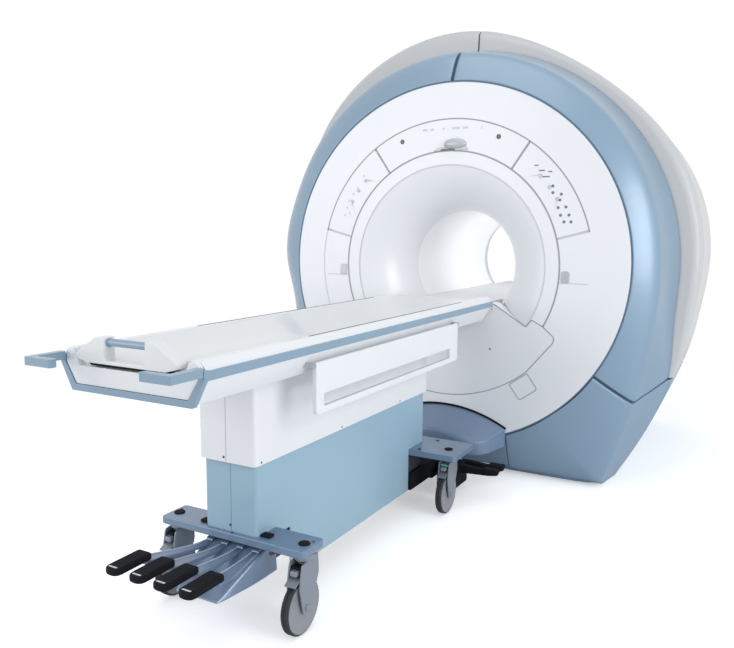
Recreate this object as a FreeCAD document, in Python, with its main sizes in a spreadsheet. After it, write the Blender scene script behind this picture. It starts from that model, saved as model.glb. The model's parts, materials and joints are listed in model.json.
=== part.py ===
import FreeCAD, Part
import math
import os
import re
import Sketcher
from FreeCAD import Vector, Rotation, Placement

# Patient scanner with a docked, wheeled patient table.
# Millimetres, +Z up, +Y from the table into the bore.
# Origin: on the floor below the middle of the bore.

doc = FreeCAD.newDocument("patient_scanner")
sheet = doc.addObject("Spreadsheet::Sheet", "Dim")

SIZES = {
    # magnet: bore and front
    "bore_height": 1110, "face_plane": 850, "tube_radius": 300, "tube_wall": 18, "tube_half": 560,
    "flare_seam": 530, "flare_wall": 15, "lip_radius": 603, "lip_depth": 15,
    "face_radius": 940, "face_depth": 25, "face_centre": 1118,
    "panel_outer": 765, "panel_depth": 6, "panel_gap": 1, "console_span": 68.6, "keys_span": 40,
    "key_radius": 9, "key_travel": 1.5, "key_fit": 0.1, "key_proud": 2,
    "key_ring": 675, "key_first": 47, "key_step": 6,
    "bridge_top": 925, "bridge_plate": 20, "bridge_half": 216, "bridge_fit": 1,
    "shield_neck": 268, "shield_shoulder": 532, "shield_ear": 591, "shield_foot": 453, "shield_base": 586,
    "light_place": 36, "light_half": 62, "light_proud": 26, "light_height": 60,
    "port_near": 612, "port_far": 654, "port_half": 32, "port_proud": 4, "port_drop": 34,
    "shield_arch": 703, "shield_depth": 150, "shield_fit": 1.5,
    # magnet: inside
    "vessel_radius": 900, "vessel_half": 690, "coil_radius": 470, "coil_half": 680,
    "foot_spread": 420, "foot_length": 540, "foot_width": 230, "foot_depth": 240, "foot_plate": 25,
    "anchor_spread": 500, "anchor_radius": 13, "pedestal_width": 150, "pedestal_inset": 20, "pedestal_shift": 30,
    # magnet: covers
    "ring_centre": 1116, "ring_bore": 947, "ring_rim": 4, "crease_radius": 1078, "crease_depth": 122,
    "ring_back_radius": 1130, "ring_depth": 340, "bulge_power": 1.8,
    "crest_depth": 380, "shell_end": 820, "shell_taper": 0.93, "rear_depth": 30,
    "seam_face": 591, "seam_corner": 459, "seam_side": 560, "seam_shift": 85,
    "skirt_split": 353, "skirt_inside": 760, "skirt_front_wall": 100, "skirt_roof": 520,
    # magnet: dock nose, windows, service door
    "nose_half": 355, "nose_top": 362, "nose_edge": 270, "nose_base": 172, "nose_reach": 230,
    "nose_front_half": 262, "nose_front_top": 285, "nose_front_edge": 240, "dock_fit": 0.3,
    "door_radius": 748, "door_turn": 36, "door_width": 112, "door_height": 94, "door_depth": 10,
    # table: heights and lengths
    "table_foot": 3050, "table_head": 870, "rail_half": 272, "rail_thick": 8, "rail_top": 938,
    "rail_height": 26, "edge_top": 962, "trough_floor": 926, "belly_half": 215, "belly_bottom": 837,
    "edge_outer": 256, "edge_inner": 214, "trough_half": 200,
    "slot_place": 237, "slot_width": 6, "slot_depth": 8, "slot_foot": 2523, "slot_head": 1221,
    "plate_thick": 16, "trim_thick": 19, "trim_half": 274, "trim_band": 20, "trim_lean": 44,
    "handle_reach": 122, "handle_inward": 108, "handle_width": 24, "handle_bottom": 925,
    "cradle_gap": 0.3, "cradle_half": 196, "cradle_edge": 211, "cradle_rim": 958, "cradle_dish": 205,
    "dish_radius": 966, "cradle_foot": 3042, "cradle_head": 900, "end_thick": 40,
    "end_shoulder": 193, "end_crown": 112, "end_top": 1003, "grip_half": 78, "grip_sill": 938,
    "grip_radius": 11, "grip_height": 988,
    "cover_half": 118, "cover_foot": 2661, "cover_head": 1329, "cover_bottom": 539, "cover_wall": 4,
    "base_half": 109, "base_foot": 2645, "base_head": 1345, "base_bottom": 100, "base_top": 536,
    "mast_half": 60, "mast_wall": 14, "mast_centre": 2000, "mast_depth": 80, "mast_fit": 0.1,
    "mast_bottom": 110, "mast_top": 530, "mast_low": 345,
    "board_foot": 2541, "board_head": 1348, "board_top": 872, "board_bottom": 708, "board_thick": 16,
    "board_place": 268, "board_rod": 4, "board_fit": 0.1, "board_slot_low": 730, "board_slot_high": 772,
    "board_slot_foot": 46, "board_slot_head": 84, "rod_over": 14,
    # table: base, casters, pedals
    "cross_half": 315, "cross_top": 295, "cross_thick": 38, "cross_front": 2690, "cross_back": 2540,
    "rear_front": 1510, "rear_back": 1335, "cross_round": 28,
    "beam_outer": 104, "beam_bottom": 180, "stem_half": 268, "stem_front": 2603, "stem_rear": 1407,
    "cap_radius": 26, "cap_height": 6, "wheel_radius": 94, "wheel_width": 30, "wheel_trail": 25,
    "tread_round": 7, "axle_radius": 7, "axle_fit": 0.1, "fork_gap": 6, "fork_plate": 6, "fork_head": 20, "fork_fit": 0.5,
    "pedal_pivot": 2631, "pedal_height": 238, "pedal_pin": 6, "pedal_fit": 0.1, "pedal_hub": 14,
    "pedal_reach": 360, "pedal_thick": 16, "pad_over": 30, "pad_length": 206, "pad_width": 70, "pad_thick": 20,
    "pedal_inner": 33, "pedal_outer": 98, "pad_inner": 51, "pad_outer": 153, "arm_straight": 68,
    "arm_bend": 188, "hub_width": 26,
    "housing_half": 140, "housing_top": 190, "housing_low": 84, "housing_neck": 42,
    "dock_half": 120, "dock_bottom": 100, "dock_head": 1130, "tongue_head": 960,
    "rocker_pivot": 230, "rocker_height": 140, "rocker_tip": 441, "rocker_first": 1190,
    "rocker_second": 1110, "rocker_width": 44, "rocker_thick": 14, "rocker_pin": 7, "rocker_hub": 16,
}

for row, (alias, number) in enumerate(SIZES.items(), 1):
    sheet.set("A%d" % row, alias)
    sheet.set("B%d" % row, str(number))
    sheet.setAlias("B%d" % row, alias)
doc.recompute()

FUNCTIONS = {"cos", "sin", "asin", "sqrt", "abs"}
nodes = {}


def formula(text):
    """A size formula with every name pointing at its cell of the sheet."""
    def cell(match):
        word = match.group(0)
        return word if word in FUNCTIONS else "Dim." + word
    return re.sub(r"[a-z][a-z_]+", cell, str(text))


def size(text):
    """The number that a size formula gives now."""
    return float(sheet.evalExpression(formula(text)))


def bind(item, prop, text):
    item.setExpression(prop, formula(text))


def place(item, x="0", y="0", z="0"):
    for axis, text in zip("xyz", (x, y, z)):
        bind(item, ".Placement.Base." + axis, text)


def node(name, item):
    """Name a finished sub-part."""
    item.Label = name
    nodes[name] = item
    return item


# ---- bodies made from sketches --------------------------------------------------------------

def plane_of(body, role):
    return next(f for f in body.Origin.OriginFeatures if f.Role == role)


def tie(sketch, kind, edge, end, text, number):
    """Tie one end of an edge to the sketch origin by a signed distance."""
    if abs(number) < 1e-9:
        axis = -2 if kind == "DistanceX" else -1
        sketch.addConstraint(Sketcher.Constraint("PointOnObject", edge, end, axis))
        return
    index = sketch.addConstraint(Sketcher.Constraint(kind, -1, 1, edge, end, number))
    sketch.setExpression("Constraints[%d]" % index, formula(text))


def arc_between(start, end, radius):
    """Minor arc from start to end; its centre is on the left for a positive radius."""
    chord = end - start
    half = chord.Length / 2
    left = Vector(-chord.y, chord.x, 0).normalize()
    side = 1 if radius > 0 else -1
    centre = (start + end) * 0.5 + left * side * math.sqrt(radius * radius - half * half)
    first, last = (start, end) if radius > 0 else (end, start)
    angles = [math.atan2(p.y - centre.y, p.x - centre.x) for p in (first, last)]
    return Part.ArcOfCircle(Part.Circle(centre, Vector(0, 0, 1), abs(radius)), *angles)


def draw(sketch, corners):
    """Closed outline through corners (x, y) or (x, y, radius of the arc that starts there)."""
    spots = [Vector(size(c[0]), size(c[1]), 0) for c in corners]
    count = len(corners)
    first_edge = sketch.GeometryCount
    ends = []
    for i, corner in enumerate(corners):
        start, end = spots[i], spots[(i + 1) % count]
        if len(corner) == 2:
            sketch.addGeometry(Part.LineSegment(start, end), False)
            ends.append((1, 2))
        else:
            radius = size(corner[2])
            sketch.addGeometry(arc_between(start, end, radius), False)
            ends.append((1, 2) if radius > 0 else (2, 1))
    for i, corner in enumerate(corners):
        edge = first_edge + i
        following = (i + 1) % count
        sketch.addConstraint(Sketcher.Constraint(
            "Coincident", edge, ends[i][1], first_edge + following, ends[following][0]))
        tie(sketch, "DistanceX", edge, ends[i][0], corner[0], spots[i].x)
        tie(sketch, "DistanceY", edge, ends[i][0], corner[1], spots[i].y)
        if len(corner) == 3:
            index = sketch.addConstraint(Sketcher.Constraint("Radius", edge, abs(size(corner[2]))))
            sketch.setExpression("Constraints[%d]" % index, "abs(%s)" % formula(corner[2]))


def sketched_body(name, role, outlines):
    body = doc.addObject("PartDesign::Body", name)
    sketch = body.newObject("Sketcher::SketchObject", name + "_sketch")
    sketch.AttachmentSupport = [(plane_of(body, role), "")]
    sketch.MapMode = "FlatFace"
    for outline in outlines:
        draw(sketch, outline)
    return body, sketch


def prism(name, role, outlines, start, length):
    """Outline padded along its plane's axis: XY up, XZ towards -Y, YZ towards +X."""
    body, sketch = sketched_body(name, role, outlines)
    pad = body.newObject("PartDesign::Pad", name + "_pad")
    pad.Profile = sketch
    bind(pad, "Length", length)
    axis = {"XY_Plane": "z", "XZ_Plane": "y", "YZ_Plane": "x"}[role]
    place(body, **{axis: start})
    return body


def turned(name, outline, span="360", turn="0", height="bore_height"):
    """Outline of (y, radius) corners revolved about the bore axis, or over part of a turn."""
    body, sketch = sketched_body(name, "YZ_Plane", [outline])
    spin = body.newObject("PartDesign::Revolution", name + "_turn")
    spin.Profile = sketch
    spin.ReferenceAxis = (plane_of(body, "Y_Axis"), [""])
    spin.Midplane = True
    bind(spin, "Angle", span)
    body.Placement = Placement(Vector(0, 0, 0), Rotation(Vector(0, 1, 0), size(turn)))
    place(body, z=height)
    return body


def round_edges(body, radius, direction):
    """Round the straight edges of a padded body that run along one direction."""
    doc.recompute()
    base = body.Tip
    names = []
    for index, edge in enumerate(base.Shape.Edges, 1):
        along = edge.tangentAt(edge.FirstParameter)
        if edge.Curve.TypeId == "Part::GeomLine" and abs(along.dot(direction)) > 0.999:
            names.append("Edge%d" % index)
    fillet = body.newObject("PartDesign::Fillet", body.Name + "_round")
    fillet.Base = (base, names)
    bind(fillet, "Radius", radius)
    body.Tip = fillet
    return body


# ---- primitives and booleans ----------------------------------------------------------------

def block(name, xs, ys, zs):
    item = doc.addObject("Part::Box", name)
    for prop, (low, high) in zip(("Length", "Width", "Height"), (xs, ys, zs)):
        bind(item, prop, "(%s) - (%s)" % (high, low))
    place(item, xs[0], ys[0], zs[0])
    return item


AXES = {"x": Rotation(Vector(0, 1, 0), 90), "y": Rotation(Vector(1, 0, 0), -90), "z": Rotation()}


def rod(name, axis, start, radius, length):
    item = doc.addObject("Part::Cylinder", name)
    bind(item, "Radius", radius)
    bind(item, "Height", length)
    item.Placement = Placement(Vector(0, 0, 0), AXES[axis])
    place(item, *start)
    return item


def fuse(name, *items):
    item = doc.addObject("Part::MultiFuse", name)
    item.Shapes = list(items)
    return item


def cut(name, base, *tools):
    item = doc.addObject("Part::Cut", name)
    item.Base = base
    item.Tool = tools[0] if len(tools) == 1 else fuse(name + "_tools", *tools)
    return item


def common(name, *items):
    item = doc.addObject("Part::MultiCommon", name)
    item.Shapes = list(items)
    return item


def both_sides(corners):
    """Corners given for +X, going up, closed by their mirror image."""
    left = [("-(%s)" % c[0], c[1]) for c in reversed(corners)]
    return list(corners) + left


def shaped(name, shape):
    """A freely curved solid."""
    item = doc.addObject("Part::Feature", name)
    item.Shape = shape
    return item


# ---- magnet: bore and what lies round it ----------------------------------------------------

def bore_parts():
    node("magnet_vessel", turned("vessel", [
        ("-vessel_half", "coil_radius"), ("-vessel_half", "vessel_radius"),
        ("vessel_half", "vessel_radius"), ("vessel_half", "coil_radius")]))
    node("gradient_coil", turned("coil", [
        ("-coil_half", "coil_radius"), ("-tube_half", "tube_radius + tube_wall"),
        ("tube_half", "tube_radius + tube_wall"), ("coil_half", "coil_radius")]))
    node("bore_tube", turned("tube", [
        ("-tube_half", "tube_radius"), ("-tube_half", "tube_radius + tube_wall"),
        ("tube_half", "tube_radius + tube_wall"), ("tube_half", "tube_radius")]))
    infill = common("bridge_infill",
                    rod("bridge_round", "y", ("0", "-tube_half", "bore_height"), "tube_radius", "2 * tube_half"),
                    block("bridge_below", ("-tube_radius", "tube_radius"), ("-tube_half", "tube_half"),
                          ("bore_height - tube_radius", "bridge_top")))
    deck = block("bridge_deck", ("-bridge_half + bridge_fit", "bridge_half - bridge_fit"),
                 ("-face_plane + bridge_fit", "face_plane - bridge_fit"),
                 ("bridge_top - bridge_plate", "bridge_top"))
    node("bore_bridge", fuse("bridge", infill, deck))


BELL_CHORDS = 4
BACK_CHORDS = 2


def flare_outline(sign):
    """Bell mouth from the face lip to the tube at one end of the bore, as short chords of two arcs."""
    rise = "(flare_seam - tube_radius)"
    bell = "(((face_plane - tube_half)^2 + %s^2) / (2 * %s))" % (rise, rise)
    back = "(%s - flare_wall)" % bell
    turn = "asin((face_plane - tube_half) / %s)" % bell
    back_turn = "asin((face_plane - lip_depth - tube_half) / %s)" % back

    def on_arc(radius, angle, count, index):
        share = "%s * %d / %d" % (angle, index, count)
        return ("%d * (tube_half + %s * sin(%s))" % (sign, radius, share),
                "tube_radius + %s - %s * cos(%s)" % (bell, radius, share))
    front = [on_arc(bell, turn, BELL_CHORDS, i) for i in range(BELL_CHORDS, -1, -1)]
    behind = [on_arc(back, back_turn, BACK_CHORDS, i) for i in range(BACK_CHORDS + 1)]
    return ([("%d * face_plane" % sign, "lip_radius")] + front + behind
            + [("%d * (face_plane - lip_depth)" % sign, "lip_radius")])


def outset(corners, grow):
    """Corners of an outline, clockwise from its top left, moved outwards by the size that grow names."""
    spots = [Vector(size(x), size(z), 0) for x, z in corners]
    moved = []
    for i, (x, z) in enumerate(corners):
        before = (spots[i] - spots[i - 1]).normalize()
        after = (spots[(i + 1) % len(spots)] - spots[i]).normalize()
        normals = Vector(-before.y, before.x, 0), Vector(-after.y, after.x, 0)
        step = (normals[0] + normals[1]) / (1 + normals[0].dot(normals[1]))
        moved.append(("%s + %.3f * %s" % (x, step.x, grow), "%s + %.3f * %s" % (z, step.y, grow)))
    return moved


SHIELD = [("shield_neck", "bridge_top"), ("442", "816"), ("472", "854"), ("shield_shoulder", "821"),
          ("shield_ear", "769"), ("shield_ear - 10", "741"), ("shield_foot", "shield_base")]


def shield_outline(grow=None):
    """Lower front panel: a shield with two ears and a foot that follows the bore's circle."""
    left = [("-(%s)" % x, z) for x, z in reversed(SHIELD)]
    corners = SHIELD + left
    radius = "-shield_arch"
    if grow:
        corners = outset(corners, grow)
        radius = "-shield_arch - " + grow
    corners[len(SHIELD) - 1] += (radius,)
    return corners


def face_parts():
    back = "-face_plane + shield_depth"
    shield = prism("shield", "XZ_Plane", [shield_outline()], back, "shield_depth")
    slot = block("shield_slot", ("-bridge_half", "bridge_half"), ("-face_plane - 5", back + " + 5"),
                 ("bridge_top - bridge_plate", "bridge_top + 5"))
    node("shield_panel", cut("shield_cut", shield, slot))
    opening = prism("shield_opening", "XZ_Plane", [shield_outline("shield_fit")], back + " + 1",
                    "shield_depth + 20")
    mouth = turned("flare_bell", flare_outline(-1))
    node("front_flare", cut("front_flare_cut", mouth, opening))

    disc = rod("face_disc", "y", ("0", "-face_plane", "face_centre"), "face_radius", "face_depth")
    mouth_hole = rod("face_mouth", "y", ("0", "-face_plane - 5", "bore_height"), "lip_radius", "face_depth + 10")
    recess = turned("panel_recess", [
        ("-face_plane - 1", "lip_radius - 1"), ("-face_plane - 1", "panel_outer"),
        ("-face_plane + panel_depth", "panel_outer"), ("-face_plane + panel_depth", "lip_radius - 1")],
        span="console_span + 2 * keys_span + 3")
    node("front_face", cut("face_cut", disc, mouth_hole, recess, opening, door_block("door_hole", "1.5")))
    node("service_door", door_block("door_leaf", "0"))


def panel(name, span, turn):
    """Piece of the flush ring of panels round the mouth."""
    return turned(name, [
        ("-face_plane", "lip_radius"), ("-face_plane", "panel_outer - panel_gap"),
        ("-face_plane + panel_depth", "panel_outer - panel_gap"), ("-face_plane + panel_depth", "lip_radius")],
        span=span, turn=turn)


def panel_parts():
    node("console_panel", panel("console", "console_span", "0"))
    for side, sign in (("left", -1), ("right", 1)):
        keys_turn = "%d * (console_span + keys_span + 1.4) / 2" % sign
        face = panel("keys_" + side, "keys_span", keys_turn)
        holes = []
        for i in range(3):
            x, z = key_spot(sign, i)
            holes.append(rod("key_hole_%s_%d" % (side, i), "y", (x, "-face_plane - 1", z),
                             "key_radius + key_fit", "panel_depth + 2"))
            name = "key_%s_%d" % (side, i + 1)
            node(name, rod(name + "_rod", "y", (x, "-face_plane - key_proud", z), "key_radius", "panel_depth"))
        node("key_panel_" + side, cut("keys_%s_cut" % side, face, *holes))


def key_spot(sign, index):
    turn = "(key_first + key_step * %d)" % index
    return "%d * key_ring * sin(%s)" % (sign, turn), "bore_height + key_ring * cos(%s)" % turn


def door_block(name, grow):
    """Small turned door beside the arched foot of the shield."""
    item = doc.addObject("Part::Box", name)
    bind(item, "Length", "door_width + 2 * %s" % grow)
    bind(item, "Width", "door_depth")
    bind(item, "Height", "door_height + 2 * %s" % grow)
    turn = math.radians(size("door_turn"))
    lean = Rotation(Vector(0, 1, 0), -size("door_turn"))
    corner = lean.multVec(Vector(-size("door_width") / 2 - size(grow), 0, -size("door_height") / 2 - size(grow)))
    middle = Vector(size("door_radius") * math.sin(turn), -size("face_plane"),
                    size("bore_height") - size("door_radius") * math.cos(turn))
    item.Placement = Placement(middle + corner, lean)
    return item


def window_parts():
    """Hood of the alignment light over the bore and the two side light ports."""
    low = "bore_height + lip_radius + 2"
    back = "-face_plane"
    hood = prism("light_hood", "XY_Plane", [[
        ("light_place - light_half", back), ("light_place - light_half + 12", back + " - light_proud + 8"),
        ("light_place", back + " - light_proud", ), ("light_place + light_half - 12", back + " - light_proud + 8"),
        ("light_place + light_half", back)]], low, "light_height")
    ports = [block("port_" + side, (near, far), (back + " - port_proud", back),
                   ("bore_height - port_drop - port_half", "bore_height - port_drop + port_half"))
             for side, near, far in (("left", "-port_far", "-port_near"), ("right", "port_near", "port_far"))]
    node("light_windows", fuse("windows", hood, *ports))


# ---- magnet: moulded covers -----------------------------------------------------------------

CREASE_SOLE = 25
FLANK = [(815, -60), (968, 211), (1036, 356), (1141, 628), (1205, 914)]
CREASE_FLANK = [(826, CREASE_SOLE), (900, 234), (970, 464), (1017, 675), (1059, 938)]
BACK_FLANK = [(815, -60), (968, 211), (1036, 356), (1088, 520), (1106, 841)]
BULGE_DEPTHS = [0, 0.15, 0.35, 0.62, 1]
SOLE = -60
CIRCLE_ANGLES = [-56, -44, -34, -23, -9.5]
CROWN_ANGLES = [0, 25, 50, 70, 90, 115, 140, 160, 180]
CROWN_RADII = [1233, 1228, 1195, 1223, 1284, 1290, 1242, 1228, 1233]


def crown(radii, centre):
    return [(r * math.cos(math.radians(a)), centre + r * math.sin(math.radians(a)))
            for a, r in zip(CROWN_ANGLES, radii)]


def round_crown(radius, centre):
    return crown([radius] * len(CROWN_ANGLES), centre)


def section_points(flank, top):
    """Outline from the right foot over the crown to the left foot."""
    left = [(-x, z) for x, z in reversed(flank)]
    return flank + top + left


def blended(first, second, share):
    return [(a[0] + share * (b[0] - a[0]), a[1] + share * (b[1] - a[1])) for a, b in zip(first, second)]


def section_wire(points, y, sole):
    """Closed wire at one depth: a smooth curve over the top and a curved or straight sole."""
    spots = [Vector(x, y, z) for x, z in points]
    curve = Part.BSplineCurve()
    curve.interpolate(Points=spots)
    if abs(spots[0].z - sole) < 1:
        closing = Part.LineSegment(spots[-1], spots[0]).toShape()
    else:
        closing = Part.Arc(spots[-1], Vector(0, y, sole), spots[0]).toShape()
    return Part.Wire([curve.toShape(), closing])


def cover_solids():
    """Solid ring cover, solid shell and rear plate, before they are hollowed and split."""
    front = -size("face_plane")
    face_centre, centre = size("face_centre"), size("ring_centre")
    rim = size("ring_bore") + size("ring_rim")
    circle = [(rim * math.cos(math.radians(a)), face_centre + rim * math.sin(math.radians(a)))
              for a in CIRCLE_ANGLES]
    mouth = section_points(circle, round_crown(rim, face_centre))
    crease = section_points(CREASE_FLANK, round_crown(size("crease_radius"), centre))
    back = section_points(BACK_FLANK, round_crown(size("ring_back_radius"), centre))
    full = section_points(FLANK, crown(CROWN_RADII, centre))
    mouth_sole = face_centre - rim

    ring_wires = []
    for depth in BULGE_DEPTHS:
        share = 1 - (1 - depth) ** size("bulge_power")
        ring_wires.append(section_wire(blended(mouth, crease, share), front + depth * size("crease_depth"),
                                       mouth_sole + share * (CREASE_SOLE - mouth_sole)))
    back_y = front + size("ring_depth")
    ring_wires.append(section_wire(back, back_y, SOLE))
    ring = Part.makeLoft(ring_wires, True, True)

    crest_y = front + size("crest_depth")
    end_y = size("shell_end")
    taper = size("shell_taper")
    rear = [(x * taper, centre + (z - centre) * taper if z > centre else z) for x, z in full]
    lip_y = back_y + (crest_y - back_y) / 4
    shell = Part.makeLoft([section_wire(blended(back, full, 0.12), back_y, SOLE),
                           section_wire(blended(back, full, 0.8), lip_y, SOLE),
                           section_wire(full, crest_y, SOLE),
                           section_wire(blended(full, rear, 0.25), (crest_y + end_y) / 2, SOLE),
                           section_wire(rear, end_y, SOLE)], True, True)
    rear_plate = Part.Face(section_wire(rear, end_y, SOLE)).extrude(Vector(0, size("rear_depth"), 0))
    return ring, shell, rear_plate


def slab(xs, ys, zs):
    return Part.makeBox(xs[1] - xs[0], ys[1] - ys[0], zs[1] - zs[0], Vector(xs[0], ys[0], zs[0]))


def below_seam(reach):
    """Everything under the seam that runs down the ring, dips at its crease and rises to the flank."""
    front = -size("face_plane")
    corner_y = front + size("crease_depth")
    side_y = front + size("ring_depth") + 10
    run = (size("seam_face") - size("seam_corner")) / (corner_y - front)
    profile = [(front - 40, size("seam_face") + 40 * run), (corner_y, size("seam_corner")),
               (side_y, size("seam_side")), (1000, size("seam_side")), (1000, -100), (front - 40, -100)]
    wire = Part.makePolygon([Vector(-reach, y, z) for y, z in profile + profile[:1]])
    return Part.Face(wire).extrude(Vector(2 * reach, 0, 0))


def cover_parts():
    ring, shell, plate = cover_solids()
    axis = Vector(0, 1, 0)
    far = 2000
    front_y = -size("face_plane")
    back_y = front_y + size("ring_depth")
    end_y = size("shell_end")
    ground = slab((-far, far), (-far, far), (0, 3000))
    ring_hole = Part.makeCylinder(size("ring_bore"), back_y - front_y + 100,
                                  Vector(0, front_y - 50, size("face_centre")), axis)
    shell_hole = Part.makeCylinder(size("vessel_radius"), end_y - back_y + 100,
                                   Vector(0, back_y - 50, size("bore_height")), axis)
    ring = ring.common(ground).cut(ring_hole)
    shell = shell.common(ground).cut(shell_hole)
    lower = below_seam(far)
    ring_top = ring.cut(lower)
    shell_top = shell.cut(lower)
    seam = size("seam_shift")
    for side, (low, high), (shell_low, shell_high) in (
            ("left", (-far, 0), (-far, seam)), ("right", (0, far), (seam, far))):
        half = slab((low, high), (-far, far), (0, 3000))
        shell_half = slab((shell_low, shell_high), (-far, far), (0, 3000))
        node("ring_cover_" + side, shaped("ring_" + side, ring_top.common(half)))
        node("shell_" + side, shaped("shell_half_" + side, shell_top.common(shell_half)))

    split = size("skirt_split")
    inside = size("skirt_inside")
    room = slab((-inside, inside), (front_y + size("skirt_front_wall"), end_y), (-10, size("skirt_roof")))
    skirt = ring.common(lower).fuse(shell.common(lower)).cut(room)
    for side, xs, top in (("right", (split, far), 700), ("left", (-far, -split), 700),
                          ("centre", (-split, split), 400)):
        node("skirt_" + side, shaped("skirt_piece_" + side, skirt.common(slab(xs, (-far, far), (0, top)))))

    mouth = Part.makeCylinder(size("lip_radius"), 200, Vector(0, end_y - 50, size("bore_height")), axis)
    node("rear_cover", shaped("rear_plate", plate.common(ground).cut(mouth)))
    node("rear_flare", turned("rear_bell", flare_outline(1)))


def foot_parts():
    feet = []
    holes = []
    for i, (sx, sy) in enumerate(((-1, -1), (1, -1), (-1, 1), (1, 1))):
        x, y = "%d * foot_spread" % sx, "%d * foot_length" % sy
        leg = "%d * (foot_spread - pedestal_shift)" % sx
        feet.append(block("foot_%d" % i, (x + " - foot_width / 2", x + " + foot_width / 2"),
                          (y + " - foot_depth / 2", y + " + foot_depth / 2"), ("0", "foot_plate")))
        feet.append(block("pedestal_%d" % i, (leg + " - pedestal_width / 2", leg + " + pedestal_width / 2"),
                          (y + " - foot_depth / 2 + pedestal_inset", y + " + foot_depth / 2 - pedestal_inset"),
                          ("foot_plate", "bore_height - vessel_radius * 0.73")))
        holes.append(rod("anchor_%d" % i, "z", ("%d * anchor_spread" % sx, y, "-5"), "anchor_radius",
                         "foot_plate + 10"))
    vessel = rod("vessel_room", "y", ("0", "-vessel_half - 50", "bore_height"), "vessel_radius",
                 "2 * vessel_half + 100")
    node("magnet_feet", cut("feet_cut", fuse("feet", *feet), vessel, *holes))


NOSE_CHORDS = 4


def nose_wire(half, top, edge, y):
    """Block section with an arched top, as short chords of one arc."""
    rise = top - edge
    radius = (half * half + rise * rise) / (2 * rise)
    turn = math.asin(half / radius)
    arch = [(radius * math.sin(turn * i / NOSE_CHORDS), top - radius + radius * math.cos(turn * i / NOSE_CHORDS))
            for i in range(-NOSE_CHORDS, NOSE_CHORDS + 1)]
    base = size("nose_base")
    spots = [Vector(x, y, z) for x, z in [(-half, base)] + arch + [(half, base)]]
    return Part.makePolygon(spots + spots[:1])


def nose_part():
    """Low arched nose that the table docks against."""
    face = -size("face_plane")
    body = Part.makeLoft([
        nose_wire(size("nose_half"), size("nose_top"), size("nose_edge"), face),
        nose_wire(size("nose_front_half"), size("nose_front_top"), size("nose_front_edge"),
                  face - size("nose_reach"))], True, True)
    node("dock_cover", shaped("nose", body))


# ---- table: top -----------------------------------------------------------------------------

def chassis_parts():
    upper = [("rail_half - rail_thick", "rail_top - rail_height"), ("rail_half - rail_thick", "rail_top"),
             ("edge_outer", "rail_top + 12"), ("edge_outer - 12", "edge_top"), ("edge_inner + 8", "edge_top"),
             ("edge_inner", "edge_top - 12"), ("trough_half", "trough_floor")]
    trough = both_sides([("belly_half", "belly_bottom")] + upper)
    body = prism("chassis", "XZ_Plane", [trough], "-table_head", "table_foot - table_head")
    plate_top = [("belly_half - 2", "belly_bottom + trim_band"), ("trim_half - trim_band - 2", "rail_top - 20"),
                 ("edge_outer - 2", "rail_top + 12"), ("edge_outer - 14", "edge_top - 2"),
                 ("edge_inner + 8", "edge_top - 2"), ("edge_inner", "edge_top - 14"),
                 ("trough_half", "trough_floor - 14")]
    plate = prism("foot_face", "XZ_Plane", [both_sides(plate_top)], "-table_foot", "plate_thick")
    slots = [block("slot_" + side, ("%s - slot_width / 2" % x, "%s + slot_width / 2" % x),
                   ("-slot_foot", "-slot_head"), ("edge_top - slot_depth", "edge_top + 5"))
             for side, x in (("left", "-slot_place"), ("right", "slot_place"))]
    node("table_chassis", cut("chassis_cut", fuse("chassis_whole", body, plate), *slots))

    rails = [block("rail_" + side, (low, high), ("-table_foot", "-table_head"),
                   ("rail_top - rail_height", "rail_top"))
             for side, low, high in (("left", "-rail_half", "-rail_half + rail_thick"),
                                     ("right", "rail_half - rail_thick", "rail_half"))]
    right = [("trim_half - trim_lean", "belly_bottom - 1"), ("trim_half", "rail_top - 20"), ("trim_half", "rail_top + 3")]
    inner = [("trim_half - trim_band", "rail_top + 3"), ("trim_half - trim_band", "rail_top - 20"),
             ("belly_half", "belly_bottom + trim_band - 1")]
    end = prism("trim", "XZ_Plane", [both_sides(right + inner)], "-table_foot", "trim_thick")
    node("side_rails", fuse("rails", end, *rails))

    hands = []
    for sign in (-1, 1):
        corner = "%d * trim_half" % sign
        inward = lambda amount: "%s - %d * (%s)" % (corner, sign, amount)
        start = "-table_foot - trim_thick"
        reach = start + " - handle_reach"
        outline = [(corner, start), (inward("handle_width"), start), (inward("handle_width"), reach + " + handle_width"),
                   (inward("handle_inward"), reach + " + handle_width"), (inward("handle_inward"), reach),
                   (corner, reach)]
        hand = prism("handle_%d" % (sign + 1), "XY_Plane", [outline], "handle_bottom", "handle_width")
        hands.append(round_edges(hand, "5", Vector(0, 0, 1)))
    node("push_handles", fuse("handles", *hands))


def cradle_parts():
    low = "trough_floor + cradle_gap"
    section = [("cradle_half", low), ("cradle_edge", "cradle_rim - 8"), ("cradle_edge", "cradle_rim"),
               ("cradle_dish", "cradle_rim", "-dish_radius"), ("-cradle_dish", "cradle_rim"),
               ("-cradle_edge", "cradle_rim"), ("-cradle_edge", "cradle_rim - 8"), ("-cradle_half", low)]
    tray = prism("tray", "XZ_Plane", [section], "-cradle_head", "cradle_foot - cradle_head")
    end = prism("tray_end", "XZ_Plane", [[
        ("end_shoulder - 40", low), ("end_shoulder", low + " + 12"), ("end_shoulder", "edge_top - 12"),
        ("end_crown", "end_top"), ("grip_half", "end_top"), ("grip_half", "grip_sill"),
        ("-grip_half", "grip_sill"), ("-grip_half", "end_top"), ("-end_crown", "end_top"),
        ("-end_shoulder", "edge_top - 12"), ("-end_shoulder", low + " + 12"), ("-end_shoulder + 40", low)]],
        "-cradle_foot", "end_thick")
    node("cradle_tray", fuse("cradle", tray, end))
    node("cradle_grip", rod("grip", "x", ("-grip_half", "-cradle_foot - end_thick / 2", "grip_height"),
                            "grip_radius", "2 * grip_half"))


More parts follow.
